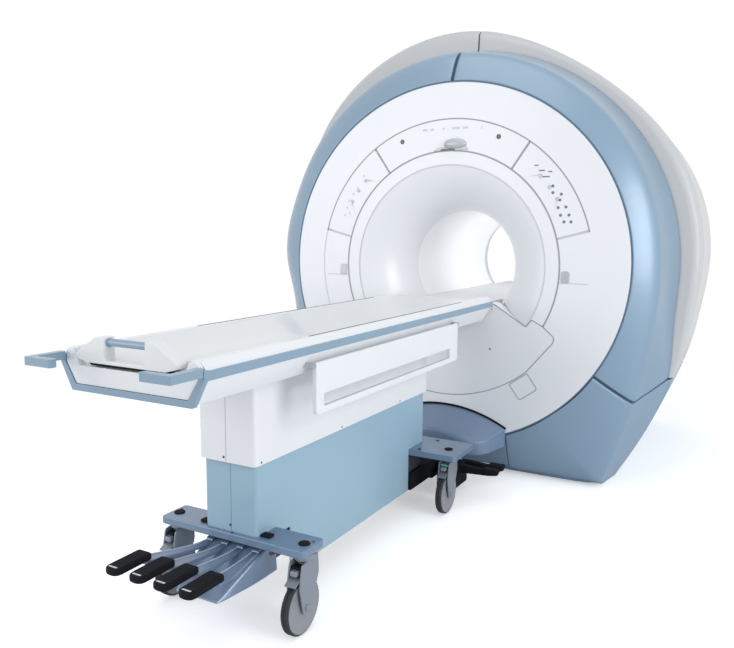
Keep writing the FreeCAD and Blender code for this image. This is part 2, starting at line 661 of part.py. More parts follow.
def board_parts():
    """Arm boards that hang at the flanks and swing up level on a rod."""
    rods = []
    for side, sign in (("left", -1), ("right", 1)):
        x = "%d * board_place" % sign
        hinge = (x, "-board_foot", "board_top")
        panel = block("board_panel_" + side, (x + " - board_thick / 2", x + " + board_thick / 2"),
                      ("-board_foot", "-board_head"), ("board_bottom", "board_top"))
        barrel = rod("board_barrel_" + side, "y", hinge, "board_thick / 2", "board_foot - board_head")
        bore = rod("board_bore_" + side, "y", (x, "-board_foot - 1", "board_top"), "board_rod + board_fit",
                   "board_foot - board_head + 2")
        grip = block("board_grip_" + side, (x + " - board_thick", x + " + board_thick"),
                     ("-board_foot + board_slot_foot", "-board_head - board_slot_head"),
                     ("board_slot_low", "board_slot_high"))
        node("side_board_" + side, cut("board_cut_" + side, fuse("board_" + side, panel, barrel), bore, grip))
        rods.append(rod("hinge_rod_" + side, "y", (x, "-board_foot - rod_over", "board_top"), "board_rod",
                        "board_foot - board_head + 2 * rod_over"))
        inner = "%d * (belly_half + 4)" % sign
        outer = "%d * (board_place + 7)" % sign
        low, high = (inner, outer) if sign > 0 else (outer, inner)
        for end, (front, back) in enumerate((("-board_foot - rod_over", "-board_foot - 1"),
                                             ("-board_head + 1", "-board_head + rod_over"))):
            rods.append(block("hinge_ear_%s_%d" % (side, end), (low, high), (front, back),
                              ("board_top - 7", "board_top + 9")))
    solid = fuse("hinge_parts", *rods)
    belly = prism("belly_room", "XZ_Plane", [both_sides([
        ("belly_half", "belly_bottom"), ("rail_half - rail_thick", "rail_top - rail_height")])],
        "-table_head", "table_foot - table_head")
    node("board_hinges", cut("hinges_cut", solid, belly))


def open_box(name, half, foot, head, low, high, wall):
    """Four upright walls."""
    outside = block(name + "_out", ("-" + half, half), ("-" + foot, "-" + head), (low, high))
    inside = block(name + "_in", ("-%s + %s" % (half, wall), "%s - %s" % (half, wall)),
                   ("-%s + %s" % (foot, wall), "-%s - %s" % (head, wall)), (low + " - 5", high + " + 5"))
    return cut(name, outside, inside)


def column_parts():
    node("upper_cover", open_box("upper", "cover_half", "cover_foot", "cover_head", "cover_bottom",
                                 "belly_bottom", "cover_wall"))
    node("mast_inner", block("mast_slide", ("-mast_half + mast_fit", "mast_half - mast_fit"),
                             ("-mast_centre - mast_depth + mast_fit", "-mast_centre + mast_depth - mast_fit"),
                             ("mast_low", "belly_bottom")))
    lower = open_box("lower", "base_half", "base_foot", "base_head", "base_bottom", "base_top", "cover_wall")
    front_notch = block("front_notch", ("-base_half - 5", "base_half + 5"), ("-cross_front - 5", "-cross_back"),
                        ("base_bottom - 5", "cross_top"))
    rear_notch = block("rear_notch", ("-base_half - 5", "base_half + 5"), ("-rear_front", "-rear_back + 5"),
                       ("cross_top - cross_thick - 1", "cross_top"))
    dock_notch = block("dock_notch", ("-base_half - 5", "base_half + 5"), ("-rear_front", "-base_head + 5"),
                       ("base_bottom - 5", "cross_top - cross_thick"))
    node("lower_cover", cut("lower_cut", lower, front_notch, rear_notch, dock_notch))


# ---- table: base, casters and pedals --------------------------------------------------------

def crossmember(name, front, back):
    outline = [("-cross_half", "-%s + 40" % front), ("-cross_half + 50", "-" + front),
               ("cross_half - 50", "-" + front), ("cross_half", "-%s + 40" % front),
               ("cross_half", "-" + back), ("-cross_half", "-" + back)]
    body = prism(name + "_plate", "XY_Plane", [outline], "cross_top - cross_thick", "cross_thick")
    node(name, round_edges(body, "cross_round", Vector(0, 0, 1)))


def base_parts():
    crossmember("front_crossmember", "cross_front", "cross_back")
    crossmember("rear_crossmember", "rear_front", "rear_back")
    under = "cross_top - cross_thick"
    inner = "mast_half + mast_wall"
    beams = [block("beam_" + side, (low, high), ("-pedal_pivot + pedal_hub + 6", "-base_head - 8"),
                   ("beam_bottom", under))
             for side, low, high in (("left", "-beam_outer", "-(%s)" % inner), ("right", inner, "beam_outer"))]
    column = block("column_out", ("-(%s)" % inner, inner), ("-mast_centre - mast_depth - mast_wall", "-mast_centre + mast_depth + mast_wall"),
                   ("mast_bottom", "mast_top"))
    hollow = block("column_in", ("-mast_half", "mast_half"), ("-mast_centre - mast_depth", "-mast_centre + mast_depth"),
                   ("mast_bottom - 5", "mast_top + 5"))
    node("base_frame", fuse("frame", cut("column", column, hollow), *beams))

    caps = [rod("cap_%d" % i, "z", ("%d * stem_half" % sign, "-" + stem, "cross_top"), "cap_radius", "cap_height")
            for i, (sign, stem) in enumerate(CASTERS.values())]
    node("stem_caps", fuse("caps", *caps))

    deck = block("dock_deck", ("-dock_half", "dock_half"), ("-rear_front + 10", "-dock_head"),
                 ("dock_bottom", "beam_bottom"))
    tongue = block("dock_tongue", ("-dock_half + 30", "dock_half - 30"), ("-dock_head", "-tongue_head"),
                   ("60", "nose_base - dock_fit"))
    heel = block("dock_heel", ("-dock_half + 30", "dock_half - 30"), ("-dock_head - 60", "-dock_head"),
                 ("60", "dock_bottom"))
    arm_ends = [("-rocker_first - 40", "-rocker_first - 24"), ("-rocker_first + 24", "-rocker_second - 24")]
    arms = [block("rocker_arm_%d" % i, ("dock_half", "rocker_pivot + 16"), ys,
                  ("rocker_height - 18", "rocker_height + 18")) for i, ys in enumerate(arm_ends)]
    pin = rod("rocker_pin_rod", "y", ("rocker_pivot", "-rocker_first - 40", "rocker_height"), "rocker_pin",
              "rocker_first - rocker_second + 40 + 22")
    node("dock_frame", fuse("dock", deck, tongue, heel, pin, *arms))

    wedge = prism("housing_wedge", "XZ_Plane", [both_sides([
        ("housing_neck", "housing_low"), ("housing_neck + 25", "housing_low + 60"),
        ("housing_half", "housing_top")])], "-pedal_pivot - 19", "75")
    cheeks = [block("cheek_" + side, (low, high), ("-pedal_pivot - 60", "-pedal_pivot + 30"),
                    ("housing_top - 10", under))
              for side, low, high in (("left", "-housing_half", "-housing_half + 12"),
                                      ("right", "housing_half - 12", "housing_half"))]
    shaft = rod("pedal_shaft", "x", ("-housing_half", "-pedal_pivot", "pedal_height"), "pedal_pin",
                "2 * housing_half")
    node("pedal_housing", fuse("housing", wedge, shaft, *cheeks))


CASTERS = {"front_left": (-1, "stem_front"), "front_right": (1, "stem_front"),
           "rear_left": (-1, "stem_rear"), "rear_right": (1, "stem_rear")}


def caster_parts():
    for name, (sign, stem) in CASTERS.items():
        x, y = "%d * stem_half" % sign, "-" + stem
        axle_y = "%s - wheel_trail" % y
        top = "cross_top - cross_thick - fork_fit"
        gap = "wheel_width / 2 + fork_gap"
        seat = rod("fork_seat_" + name, "z", (x, y, top + " - fork_head"), "34", "fork_head")
        bridge = block("fork_bridge_" + name, ("%s - (%s) - fork_plate" % (x, gap), "%s + %s + fork_plate" % (x, gap)),
                       (axle_y + " - 24", y + " + 24"), ("2 * wheel_radius + 10", top + " - fork_head"))
        legs = []
        for side, (low, high) in enumerate((("- (%s) - fork_plate" % gap, "- (%s)" % gap),
                                            ("+ %s" % gap, "+ %s + fork_plate" % gap))):
            outline = [("(%s) - 18" % axle_y, "wheel_radius - 18"), ("(%s) + 18" % axle_y, "wheel_radius - 18"),
                       ("(%s) + 24" % y, "2 * wheel_radius + 12"), ("(%s) - 24" % axle_y, "2 * wheel_radius + 12")]
            start = "%s %s" % (x, low)
            legs.append(prism("fork_leg_%s_%d" % (name, side), "YZ_Plane", [outline], start, "fork_plate"))
        axle = rod("axle_" + name, "x", ("%s - (%s) - fork_plate - 4" % (x, gap), axle_y, "wheel_radius"),
                   "axle_radius", "2 * (%s + fork_plate + 4)" % gap)
        node("caster_fork_" + name, fuse("fork_" + name, seat, bridge, axle, *legs))

        node("caster_wheel_" + name, wheel(name, x, axle_y))


def wheel(name, x, axle_y):
    """Wheel with flush side discs and chamfered shoulders."""
    half = "(wheel_width / 2)"
    bore = "axle_radius + axle_fit"
    body, sketch = sketched_body("wheel_" + name, "XY_Plane", [[
        ("-" + half, bore), (half, bore), (half, "wheel_radius - tread_round"),
        (half + " - tread_round", "wheel_radius"), ("-" + half + " + tread_round", "wheel_radius"),
        ("-" + half, "wheel_radius - tread_round")]])
    spin = body.newObject("PartDesign::Revolution", "wheel_turn_" + name)
    spin.Profile = sketch
    spin.ReferenceAxis = (plane_of(body, "X_Axis"), [""])
    spin.Angle = 360
    place(body, x, axle_y, "wheel_radius")
    return body


PEDALS = {"far_left": (-1, "pedal_outer", "pad_outer"), "near_left": (-1, "pedal_inner", "pad_inner"),
          "near_right": (1, "pedal_inner", "pad_inner"), "far_right": (1, "pedal_outer", "pad_outer")}


def pedal_parts():
    """Foot pedals on one shaft; the arms spread to pads that lie side by side."""
    for name, (sign, root, out) in PEDALS.items():
        x = "%d * %s" % (sign, root)
        shift = "%d * (%s - %s)" % (sign, out, root)
        hub = rod("pedal_hub_" + name, "x", ("%s - hub_width / 2" % x, "-pedal_pivot", "pedal_height"),
                  "pedal_hub", "hub_width")
        arm = prism("pedal_arm_" + name, "XY_Plane", [[
            ("%s - hub_width / 2 + 1" % shift, "-pedal_reach"), ("%s + hub_width / 2 - 1" % shift, "-pedal_reach"),
            ("%s + hub_width / 2 - 1" % shift, "-arm_bend"), ("hub_width / 2 - 2", "-arm_straight"),
            ("hub_width / 2 - 2", "0"), ("-hub_width / 2 + 2", "0"), ("-hub_width / 2 + 2", "-arm_straight"),
            ("%s - hub_width / 2 + 1" % shift, "-arm_bend")]], "0", "pedal_thick")
        pad = block("pedal_pad_" + name, ("%s - pad_width / 2" % shift, "%s + pad_width / 2" % shift),
                    ("-pedal_reach - pad_over", "-pedal_reach - pad_over + pad_length"),
                    ("pedal_thick", "pedal_thick + pad_thick"))
        blade = fuse("pedal_blade_" + name, arm, pad)
        place(blade, x, "-pedal_pivot", "pedal_height - pedal_thick / 2")
        bore = rod("pedal_bore_" + name, "x", ("%s - hub_width" % x, "-pedal_pivot", "pedal_height"),
                   "pedal_pin + pedal_fit", "2 * hub_width")
        node("pedal_" + name, cut("pedal_cut_" + name, fuse("pedal_whole_" + name, hub, blade), bore))


def rocker_parts():
    """Two latch pedals beside the dock that point to the right."""
    for name, y in (("dock", "-rocker_first"), ("release", "-rocker_second")):
        half = "rocker_width / 2"
        hub = rod("rocker_hub_" + name, "y", ("rocker_pivot", "%s - %s" % (y, half), "rocker_height"),
                  "rocker_hub", "rocker_width")
        blade = block("rocker_blade_" + name, ("rocker_pivot", "rocker_tip"), ("%s - %s" % (y, half), "%s + %s" % (y, half)),
                      ("rocker_height - rocker_thick / 2", "rocker_height + rocker_thick / 2"))
        bore = rod("rocker_bore_" + name, "y", ("rocker_pivot", "%s - rocker_width" % y, "rocker_height"),
                   "rocker_pin + 0.1", "2 * rocker_width")
        node("rocker_" + name, cut("rocker_cut_" + name, fuse("rocker_whole_" + name, hub, blade), bore))


# ---- build, check, write --------------------------------------------------------------------

bore_parts()
face_parts()
panel_parts()
window_parts()
cover_parts()
foot_parts()
nose_part()
chassis_parts()
cradle_parts()
board_parts()
column_parts()
base_parts()
caster_parts()
pedal_parts()
rocker_parts()
doc.recompute()

for item in doc.Objects:
    if "Invalid" in item.State or "Error" in item.State:
        raise RuntimeError("%s failed: %s" % (item.Label, item.State))
os.makedirs("parts", exist_ok=True)
triangles = 0
for name, item in nodes.items():
    shape = item.Shape
    if shape.isNull() or not shape.isValid() or not shape.Solids:
        raise RuntimeError("%s has no valid solid" % name)
    triangles += len(shape.tessellate(1.0)[1])
    shape.exportStep("parts/%s.step" % name)
print(len(nodes), "nodes,", triangles, "triangles at 1 mm")
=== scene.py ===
import bpy
import bmesh
import json
import math
import numpy as np
from mathutils import Matrix, Vector
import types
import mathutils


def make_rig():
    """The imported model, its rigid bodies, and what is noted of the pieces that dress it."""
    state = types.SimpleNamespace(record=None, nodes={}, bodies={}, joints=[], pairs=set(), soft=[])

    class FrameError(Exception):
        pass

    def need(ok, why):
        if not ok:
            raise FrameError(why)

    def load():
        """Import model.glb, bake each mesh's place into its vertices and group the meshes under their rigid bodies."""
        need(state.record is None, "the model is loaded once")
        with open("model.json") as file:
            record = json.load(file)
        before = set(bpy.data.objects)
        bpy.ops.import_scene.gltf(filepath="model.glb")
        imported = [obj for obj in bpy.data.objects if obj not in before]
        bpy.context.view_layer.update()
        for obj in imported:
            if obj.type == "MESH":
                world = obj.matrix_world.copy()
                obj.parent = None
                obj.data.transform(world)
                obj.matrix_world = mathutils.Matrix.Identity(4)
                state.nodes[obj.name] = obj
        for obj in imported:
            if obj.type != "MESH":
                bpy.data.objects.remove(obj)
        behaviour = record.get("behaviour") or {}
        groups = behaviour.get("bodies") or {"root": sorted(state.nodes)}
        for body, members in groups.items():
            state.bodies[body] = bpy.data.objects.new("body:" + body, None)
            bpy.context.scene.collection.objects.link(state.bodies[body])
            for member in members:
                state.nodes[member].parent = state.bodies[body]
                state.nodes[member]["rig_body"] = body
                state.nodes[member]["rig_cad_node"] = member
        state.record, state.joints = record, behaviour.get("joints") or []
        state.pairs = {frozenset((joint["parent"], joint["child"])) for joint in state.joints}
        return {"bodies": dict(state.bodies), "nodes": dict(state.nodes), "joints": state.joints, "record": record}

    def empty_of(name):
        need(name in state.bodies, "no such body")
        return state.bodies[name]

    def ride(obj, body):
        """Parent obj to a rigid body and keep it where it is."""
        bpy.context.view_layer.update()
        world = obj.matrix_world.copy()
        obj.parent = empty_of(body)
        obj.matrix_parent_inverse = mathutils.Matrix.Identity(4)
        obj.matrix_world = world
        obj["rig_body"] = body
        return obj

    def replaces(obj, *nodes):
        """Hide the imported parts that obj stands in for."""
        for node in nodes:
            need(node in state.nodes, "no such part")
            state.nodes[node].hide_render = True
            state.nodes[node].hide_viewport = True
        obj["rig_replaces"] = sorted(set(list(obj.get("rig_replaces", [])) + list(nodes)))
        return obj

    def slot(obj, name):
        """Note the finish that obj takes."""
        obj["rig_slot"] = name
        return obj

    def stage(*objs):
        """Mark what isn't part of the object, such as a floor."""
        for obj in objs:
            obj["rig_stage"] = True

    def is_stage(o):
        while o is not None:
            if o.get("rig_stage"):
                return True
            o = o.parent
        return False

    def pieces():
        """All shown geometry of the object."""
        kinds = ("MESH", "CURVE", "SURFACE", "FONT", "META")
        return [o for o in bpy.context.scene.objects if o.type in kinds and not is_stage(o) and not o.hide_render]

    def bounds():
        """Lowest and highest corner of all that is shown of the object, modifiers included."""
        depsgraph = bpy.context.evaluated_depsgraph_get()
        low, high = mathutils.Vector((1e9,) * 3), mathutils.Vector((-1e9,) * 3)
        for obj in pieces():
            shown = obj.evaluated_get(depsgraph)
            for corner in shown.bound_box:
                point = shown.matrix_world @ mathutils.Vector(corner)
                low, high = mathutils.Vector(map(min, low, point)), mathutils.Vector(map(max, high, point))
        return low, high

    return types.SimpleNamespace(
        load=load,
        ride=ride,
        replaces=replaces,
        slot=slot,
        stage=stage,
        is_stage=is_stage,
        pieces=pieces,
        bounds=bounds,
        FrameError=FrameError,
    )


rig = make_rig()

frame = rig.load()
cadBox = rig.bounds()
cadNodes = frame["nodes"]
collection = bpy.context.scene.collection
print("frame loaded:", len(cadNodes), "nodes")

# node trees


def addNode(tree, kind, **values):
    # node with its properties and the values of its inputs by name
    made = tree.nodes.new(kind)
    for name, value in values.items():
        if hasattr(made, name):
            setattr(made, name, value)
        else:
            made.inputs[name.replace("_", " ")].default_value = value
    return made


def feed(tree, made, *sources):
    # links or sets the inputs in their order, and gives back the first output
    for source, socket in zip(sources, made.inputs):
        if isinstance(source, bpy.types.NodeSocket):
            tree.links.new(source, socket)
        elif source is not None:
            socket.default_value = source
    return made.outputs[0] if made.outputs else None


def mathNode(tree, operation, *sources, **values):
    return feed(tree, addNode(tree, "ShaderNodeMath", operation=operation, **values), *sources)


def mapNode(tree, *sources, **values):
    # sources: value, from low, from high, to low, to high
    return feed(tree, addNode(tree, "ShaderNodeMapRange", **values), *sources)


def mixShaders(tree, share, first, second):
    return feed(tree, addNode(tree, "ShaderNodeMixShader"), share, first, second)


# camera, light and floor
view = {"place": (1.553, -4.507, 1.311), "yaw": 29.067, "pitch": -7.394, "roll": 0.39, "lens": 36.35}
studio = {
    "fill": (0.86, 0.90, 0.96, 1), "fillPower": 0.64, "floor": (0.93, 0.93, 0.935, 1), "floorRadius": 14,
    "floorCentre": -1, "floorHeight": -0.0005, "floorLift": 0.40, "fadeStart": 2.6, "fadeEnd": 5.0,
}
lamps = {
    "frontLight": {"place": (-3.2, -6.0, 2.0), "aim": (0, -0.85, 0.8), "size": (4.0, 3.0), "power": 100},
    "rightLight": {"place": (6.0, -3.2, 2.4), "aim": (0.2, -0.8, 1.0), "size": (3.0, 4.0), "power": 185},
    "topLight": {"place": (0.0, -2.6, 6.5), "aim": (0, -1.4, 0), "size": (4.0, 4.0), "power": 55},
}
white = (1, 1, 1, 1)


def circleTurns(count):
    return [2 * math.pi * i / count for i in range(count)]


def setCamera():
    yaw, pitch, roll = (math.radians(view[k]) for k in ("yaw", "pitch", "roll"))
    turn = Matrix.Rotation(yaw, 3, "Z") @ Matrix.Rotation(math.pi / 2 + pitch, 3, "X")
    turn = turn @ Matrix.Rotation(roll, 3, "Z")
    data = bpy.data.cameras.new("photoCamera")
    data.lens = view["lens"]
    data.sensor_width = 36
    data.clip_end = 200
    camera = bpy.data.objects.new("photoCamera", data)
    camera.matrix_world = Matrix.Translation(view["place"]) @ turn.to_4x4()
    collection.objects.link(camera)
    bpy.context.scene.camera = camera


def addLamp(name, lamp):
    data = bpy.data.lights.new(name, "AREA")
    data.shape = "RECTANGLE"
    data.size, data.size_y = lamp["size"]
    data.energy = lamp["power"]
    made = bpy.data.objects.new(name, data)
    made.location = lamp["place"]
    aim = Vector(lamp["aim"]) - Vector(lamp["place"])
    made.rotation_euler = aim.to_track_quat("-Z", "Y").to_euler()
    collection.objects.link(made)


def setWorld():
    # white where it is seen or mirrored, and a cooler fill on everything else
    world = bpy.data.worlds.new("studio")
    world.use_nodes = True
    bpy.context.scene.world = world
    tree = world.node_tree
    tree.nodes.clear()
    ray = addNode(tree, "ShaderNodeLightPath").outputs
    seen = addNode(tree, "ShaderNodeBackground", Color=white, Strength=1.0)
    fill = addNode(tree, "ShaderNodeBackground", Color=studio["fill"], Strength=studio["fillPower"])
    mirrored = mathNode(tree, "ADD", ray["Is Glossy Ray"], ray["Is Transmission Ray"])
    share = mathNode(tree, "ADD", ray["Is Camera Ray"], mirrored, use_clamp=True)
    mix = mixShaders(tree, share, fill.outputs[0], seen.outputs[0])
    feed(tree, addNode(tree, "ShaderNodeOutputWorld"), mix)


def addFloor():
    # pale disc that keeps the soft shadow and fades out into the white round it
    s = studio
    data = bpy.data.meshes.new("studioFloor")
    rim = [(s["floorRadius"] * math.cos(a), s["floorRadius"] * math.sin(a) + s["floorCentre"],
            s["floorHeight"])
           for a in circleTurns(64)]
    data.from_pydata(rim, [], [tuple(range(64))])
    floor = bpy.data.objects.new("studioFloor", data)
    collection.objects.link(floor)
    mat = bpy.data.materials.new("floorWhite")
    mat.use_nodes = True
    tree = mat.node_tree
    tree.nodes.clear()
    ray = addNode(tree, "ShaderNodeLightPath").outputs
    matte = addNode(tree, "ShaderNodeBsdfDiffuse", Color=s["floor"])
    lift = mathNode(tree, "MULTIPLY", ray["Is Camera Ray"], s["floorLift"])
    glow = feed(tree, addNode(tree, "ShaderNodeEmission"), white, lift)
    both = feed(tree, addNode(tree, "ShaderNodeAddShader"), matte.outputs[0], glow)
    place = addNode(tree, "ShaderNodeTexCoord").outputs["Object"]
    reach = addNode(tree, "ShaderNodeVectorMath", operation="LENGTH")
    feed(tree, reach, place)
    fade = mapNode(tree, reach.outputs["Value"], s["fadeStart"], s["fadeEnd"],
                   interpolation_type="SMOOTHSTEP")
    mix = mixShaders(tree, fade, both, addNode(tree, "ShaderNodeBsdfTransparent").outputs[0])
    feed(tree, addNode(tree, "ShaderNodeOutputMaterial"), mix)
    data.materials.append(mat)
    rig.stage(floor)


bpy.context.scene.view_settings.view_transform = "Standard"
setCamera()
setWorld()
addFloor()
for lampName, lampValues in lamps.items():
    addLamp(lampName, lampValues)
print("camera, light and floor set")

# shader groups


def newGroup(name, inputs, outputs):
    group = bpy.data.node_groups.new(name, "ShaderNodeTree")
    for socket, kind, value in inputs:
        made = group.interface.new_socket(socket, in_out="INPUT", socket_type=kind)
        made.default_value = value
    for socket, kind in outputs:
        group.interface.new_socket(socket, in_out="OUTPUT", socket_type=kind)
    return group, group.nodes.new("NodeGroupInput").outputs, group.nodes.new("NodeGroupOutput")


def mouldedGroup():
    # slow tone drift over a large cover and the fine sand of its mould
    group, given, gives = newGroup("mouldedSurface", [
        ("Base", "NodeSocketColor", (0.8, 0.8, 0.8, 1)), ("Drift", "NodeSocketFloat", 0.03),
        ("Grain Scale", "NodeSocketFloat", 900.0), ("Rough", "NodeSocketFloat", 0.35)],
        [("Color", "NodeSocketColor"), ("Roughness", "NodeSocketFloat"), ("Height", "NodeSocketFloat")])
    place = addNode(group, "ShaderNodeTexCoord").outputs["Object"]
    slow = feed(group, addNode(group, "ShaderNodeTexNoise", Scale=1.7, Detail=2.0), place)
    fine = feed(group, addNode(group, "ShaderNodeTexNoise", Detail=2.0), place, None, given["Grain Scale"])
    patch = feed(group, addNode(group, "ShaderNodeTexNoise", Scale=23.0, Detail=4.0), place)
    drift = mathNode(group, "MULTIPLY", mathNode(group, "SUBTRACT", slow, 0.5), given["Drift"])
    tint = addNode(group, "ShaderNodeVectorMath", operation="SCALE")
    colour = feed(group, tint, given["Base"])
    group.links.new(mathNode(group, "ADD", drift, 1.0), tint.inputs["Scale"])
    uneven = mapNode(group, patch, None, None, -0.05, 0.07)
    feed(group, gives, colour, mathNode(group, "ADD", given["Rough"], uneven), fine)
    return group


def scuffGroup():
    # dull scuffs and dust that gather low on what rolls over a floor
    group, given, gives = newGroup("floorScuffs", [
        ("Base", "NodeSocketColor", (0.3, 0.3, 0.3, 1)), ("Dust", "NodeSocketColor", (0.5, 0.5, 0.5, 1)),
        ("Reach", "NodeSocketFloat", 0.35), ("Amount", "NodeSocketFloat", 0.3)],
        [("Color", "NodeSocketColor")])
    place = addNode(group, "ShaderNodeTexCoord").outputs["Object"]
    split = addNode(group, "ShaderNodeSeparateXYZ")
    feed(group, split, place)
    low = mapNode(group, split.outputs["Z"], None, given["Reach"], 1.0, 0.0)
    spots = feed(group, addNode(group, "ShaderNodeTexNoise", Scale=38.0, Detail=5.0, Roughness=0.7), place)
    share = mathNode(group, "MULTIPLY", mathNode(group, "MULTIPLY", low, spots), given["Amount"])
    mix = addNode(group, "ShaderNodeMix", data_type="RGBA")
    for source, index in ((share, 0), (given["Base"], 6), (given["Dust"], 7)):
        group.links.new(source, mix.inputs[index])
    feed(group, gives, mix.outputs[2])
    return group


mouldedSurface = mouldedGroup()
floorScuffs = scuffGroup()


# materials
def look(colour, rough, slot=None, **more):
    # slot: the record's material slot of pieces in this finish, where they don't name another;
    # more: metal, coat and its roughness, specular, grain depth, tone drift, dust near the floor, and glow, which is
    # painted light
    return {"colour": (*colour, 1), "rough": rough, "slot": slot, "metal": 0.0, "coat": 0.0,
            "coatRough": 0.14,
            "specular": 0.5, "grain": 0.0, "drift": 0.05, "dust": 0.0, "glow": 0.0, **more}


grainScale, grainHeight = 700.0, 0.002
dustColour = (0.42, 0.42, 0.41, 1)
# painted light: the bore tube's glow stands in for lamps inside the bore
paintedGlowDepth = (-0.60, 0.0)  # along the bore, from no glow to all of it
finishes = {
    "whiteCover": look((0.80, 0.81, 0.83), 0.34, "white_cover", coat=0.25, grain=0.02, drift=0.02),
    "boreWhite": look((0.84, 0.85, 0.87), 0.42, coat=0.1, grain=0.02, drift=0.02),
    # painted light: the bore tube glows, brighter deeper in, in place of lamps inside the bore
    "boreLit": look((0.86, 0.87, 0.88), 0.45, coat=0.1, grain=0.01, drift=0.01, glow=0.33),
    # painted shade: the shell's white is set darker than the cover white, for the grey of its shade
    "shellWhite": look((0.54, 0.545, 0.55), 0.42, "shell_white", coat=0.15, grain=0.03, drift=0.03),
    "ringBlue": look((0.215, 0.325, 0.435), 0.40, "blue_cover", metal=0.22, coat=0.75, coatRough=0.24,
                     grain=0.02, drift=0.04),
    "ringBlueDeep": look((0.185, 0.285, 0.40), 0.40, metal=0.2, coat=0.5, coatRough=0.25, grain=0.02),
    # painted light: a lighter copy of the ring blue, so the recessed band under the skirts reads as lit
    "skirtPlinth": look((0.30, 0.46, 0.60), 0.35, "blue_cover", coat=0.3, grain=0.02),
    "noseBlue": look((0.165, 0.235, 0.355), 0.40, "plate_blue", coat=0.3, grain=0.03),
    "tableWhite": look((0.80, 0.815, 0.83), 0.30, "table_white", coat=0.3, grain=0.015, drift=0.02),
    "trayWhite": look((0.76, 0.77, 0.775), 0.33, "table_white", coat=0.3, grain=0.015, drift=0.02),
    "trayGrey": look((0.73, 0.75, 0.77), 0.36, coat=0.2, grain=0.02, drift=0.02),
    "railBlue": look((0.225, 0.335, 0.44), 0.36, "rail_blue", coat=0.35, grain=0.03, drift=0.04),
    "coverWhite": look((0.80, 0.81, 0.825), 0.36, "cover_grey", coat=0.2, grain=0.03, drift=0.02),
    "flankBlue": look((0.30, 0.455, 0.56), 0.38, "flank_blue", coat=0.3, grain=0.02, drift=0.03, dust=0.06),
    "plateBlue": look((0.15, 0.225, 0.335), 0.34, "plate_blue", metal=0.2, coat=0.5, coatRough=0.18,
                      grain=0.05, drift=0.04,
                      dust=0.08),
    "armBlue": look((0.155, 0.215, 0.325), 0.36, "plate_blue", metal=0.25, coat=0.3, grain=0.05),
    "guardBlue": look((0.22, 0.30, 0.43), 0.34, "plate_blue", metal=0.2, coat=0.4, grain=0.03),
    # painted highlight of the pedal arms' left edges
    "paintedEdgeHighlight": look((0.45, 0.52, 0.62), 0.3, "plate_blue", metal=0.3, coat=0.3, grain=0.02),
    "hingeSteel": look((0.45, 0.47, 0.50), 0.35, metal=1.0, grain=0.05),
    "innerMetal": look((0.45, 0.46, 0.48), 0.5, metal=0.5, grain=0.05),
    "darkSteel": look((0.06, 0.065, 0.075), 0.5, "hinge_steel", metal=0.4, grain=0.1, drift=0.1),
    "forkGrey": look((0.23, 0.26, 0.31), 0.42, "fork_steel", metal=0.3, grain=0.08, drift=0.06, dust=0.3),
    "wheelGrey": look((0.25, 0.26, 0.29), 0.42, "fork_steel", grain=0.05, dust=0.1),
    "tyreDark": look((0.018, 0.022, 0.028), 0.6, "wheel_tread", specular=0.3, grain=0.15, drift=0.06,
                     dust=0.08),
    "blackRubber": look((0.004, 0.005, 0.008), 0.75, "black_plastic", specular=0.18, grain=0.1, dust=0.01),
    "keyGrey": look((0.55, 0.57, 0.60), 0.5, grain=0.05),
    "tabGreen": look((0.20, 0.55, 0.40), 0.45, "black_plastic", grain=0.05),
    "domeGrey": look((0.45, 0.47, 0.49), 0.22, "dark_window", coat=0.8, drift=0.25),
    "glossBlack": look((0.02, 0.022, 0.026), 0.25, "dark_window", coat=0.5, drift=0.1),
    # painted shade: the dark blue of the shaded gap round the face
    "gapBlue": look((0.12, 0.20, 0.29), 0.7, "blue_cover"),
    # painted shade: the dark blue seen in the shaded gaps between the covers
    "gapShadeBlue": look((0.075, 0.12, 0.175), 0.7, "blue_cover"),
    "seamBlue": look((0.16, 0.25, 0.36), 0.7, "flank_blue"),
    "seamPale": look((0.60, 0.61, 0.63), 0.7, "dark_window"),
    "seamGrey": look((0.35, 0.36, 0.38), 0.8, "dark_window"),
    "slotDark": look((0.10, 0.085, 0.08), 0.6, "black_plastic", drift=0.1),
    "printGrey": look((0.16, 0.18, 0.22), 0.6, "dark_window", drift=0.2),
    "printPale": look((0.60, 0.62, 0.64), 0.6, "dark_window", drift=0.2),
    "markPale": look((0.62, 0.66, 0.70), 0.5, "black_plastic", drift=0.1),
}
finishMade = {}


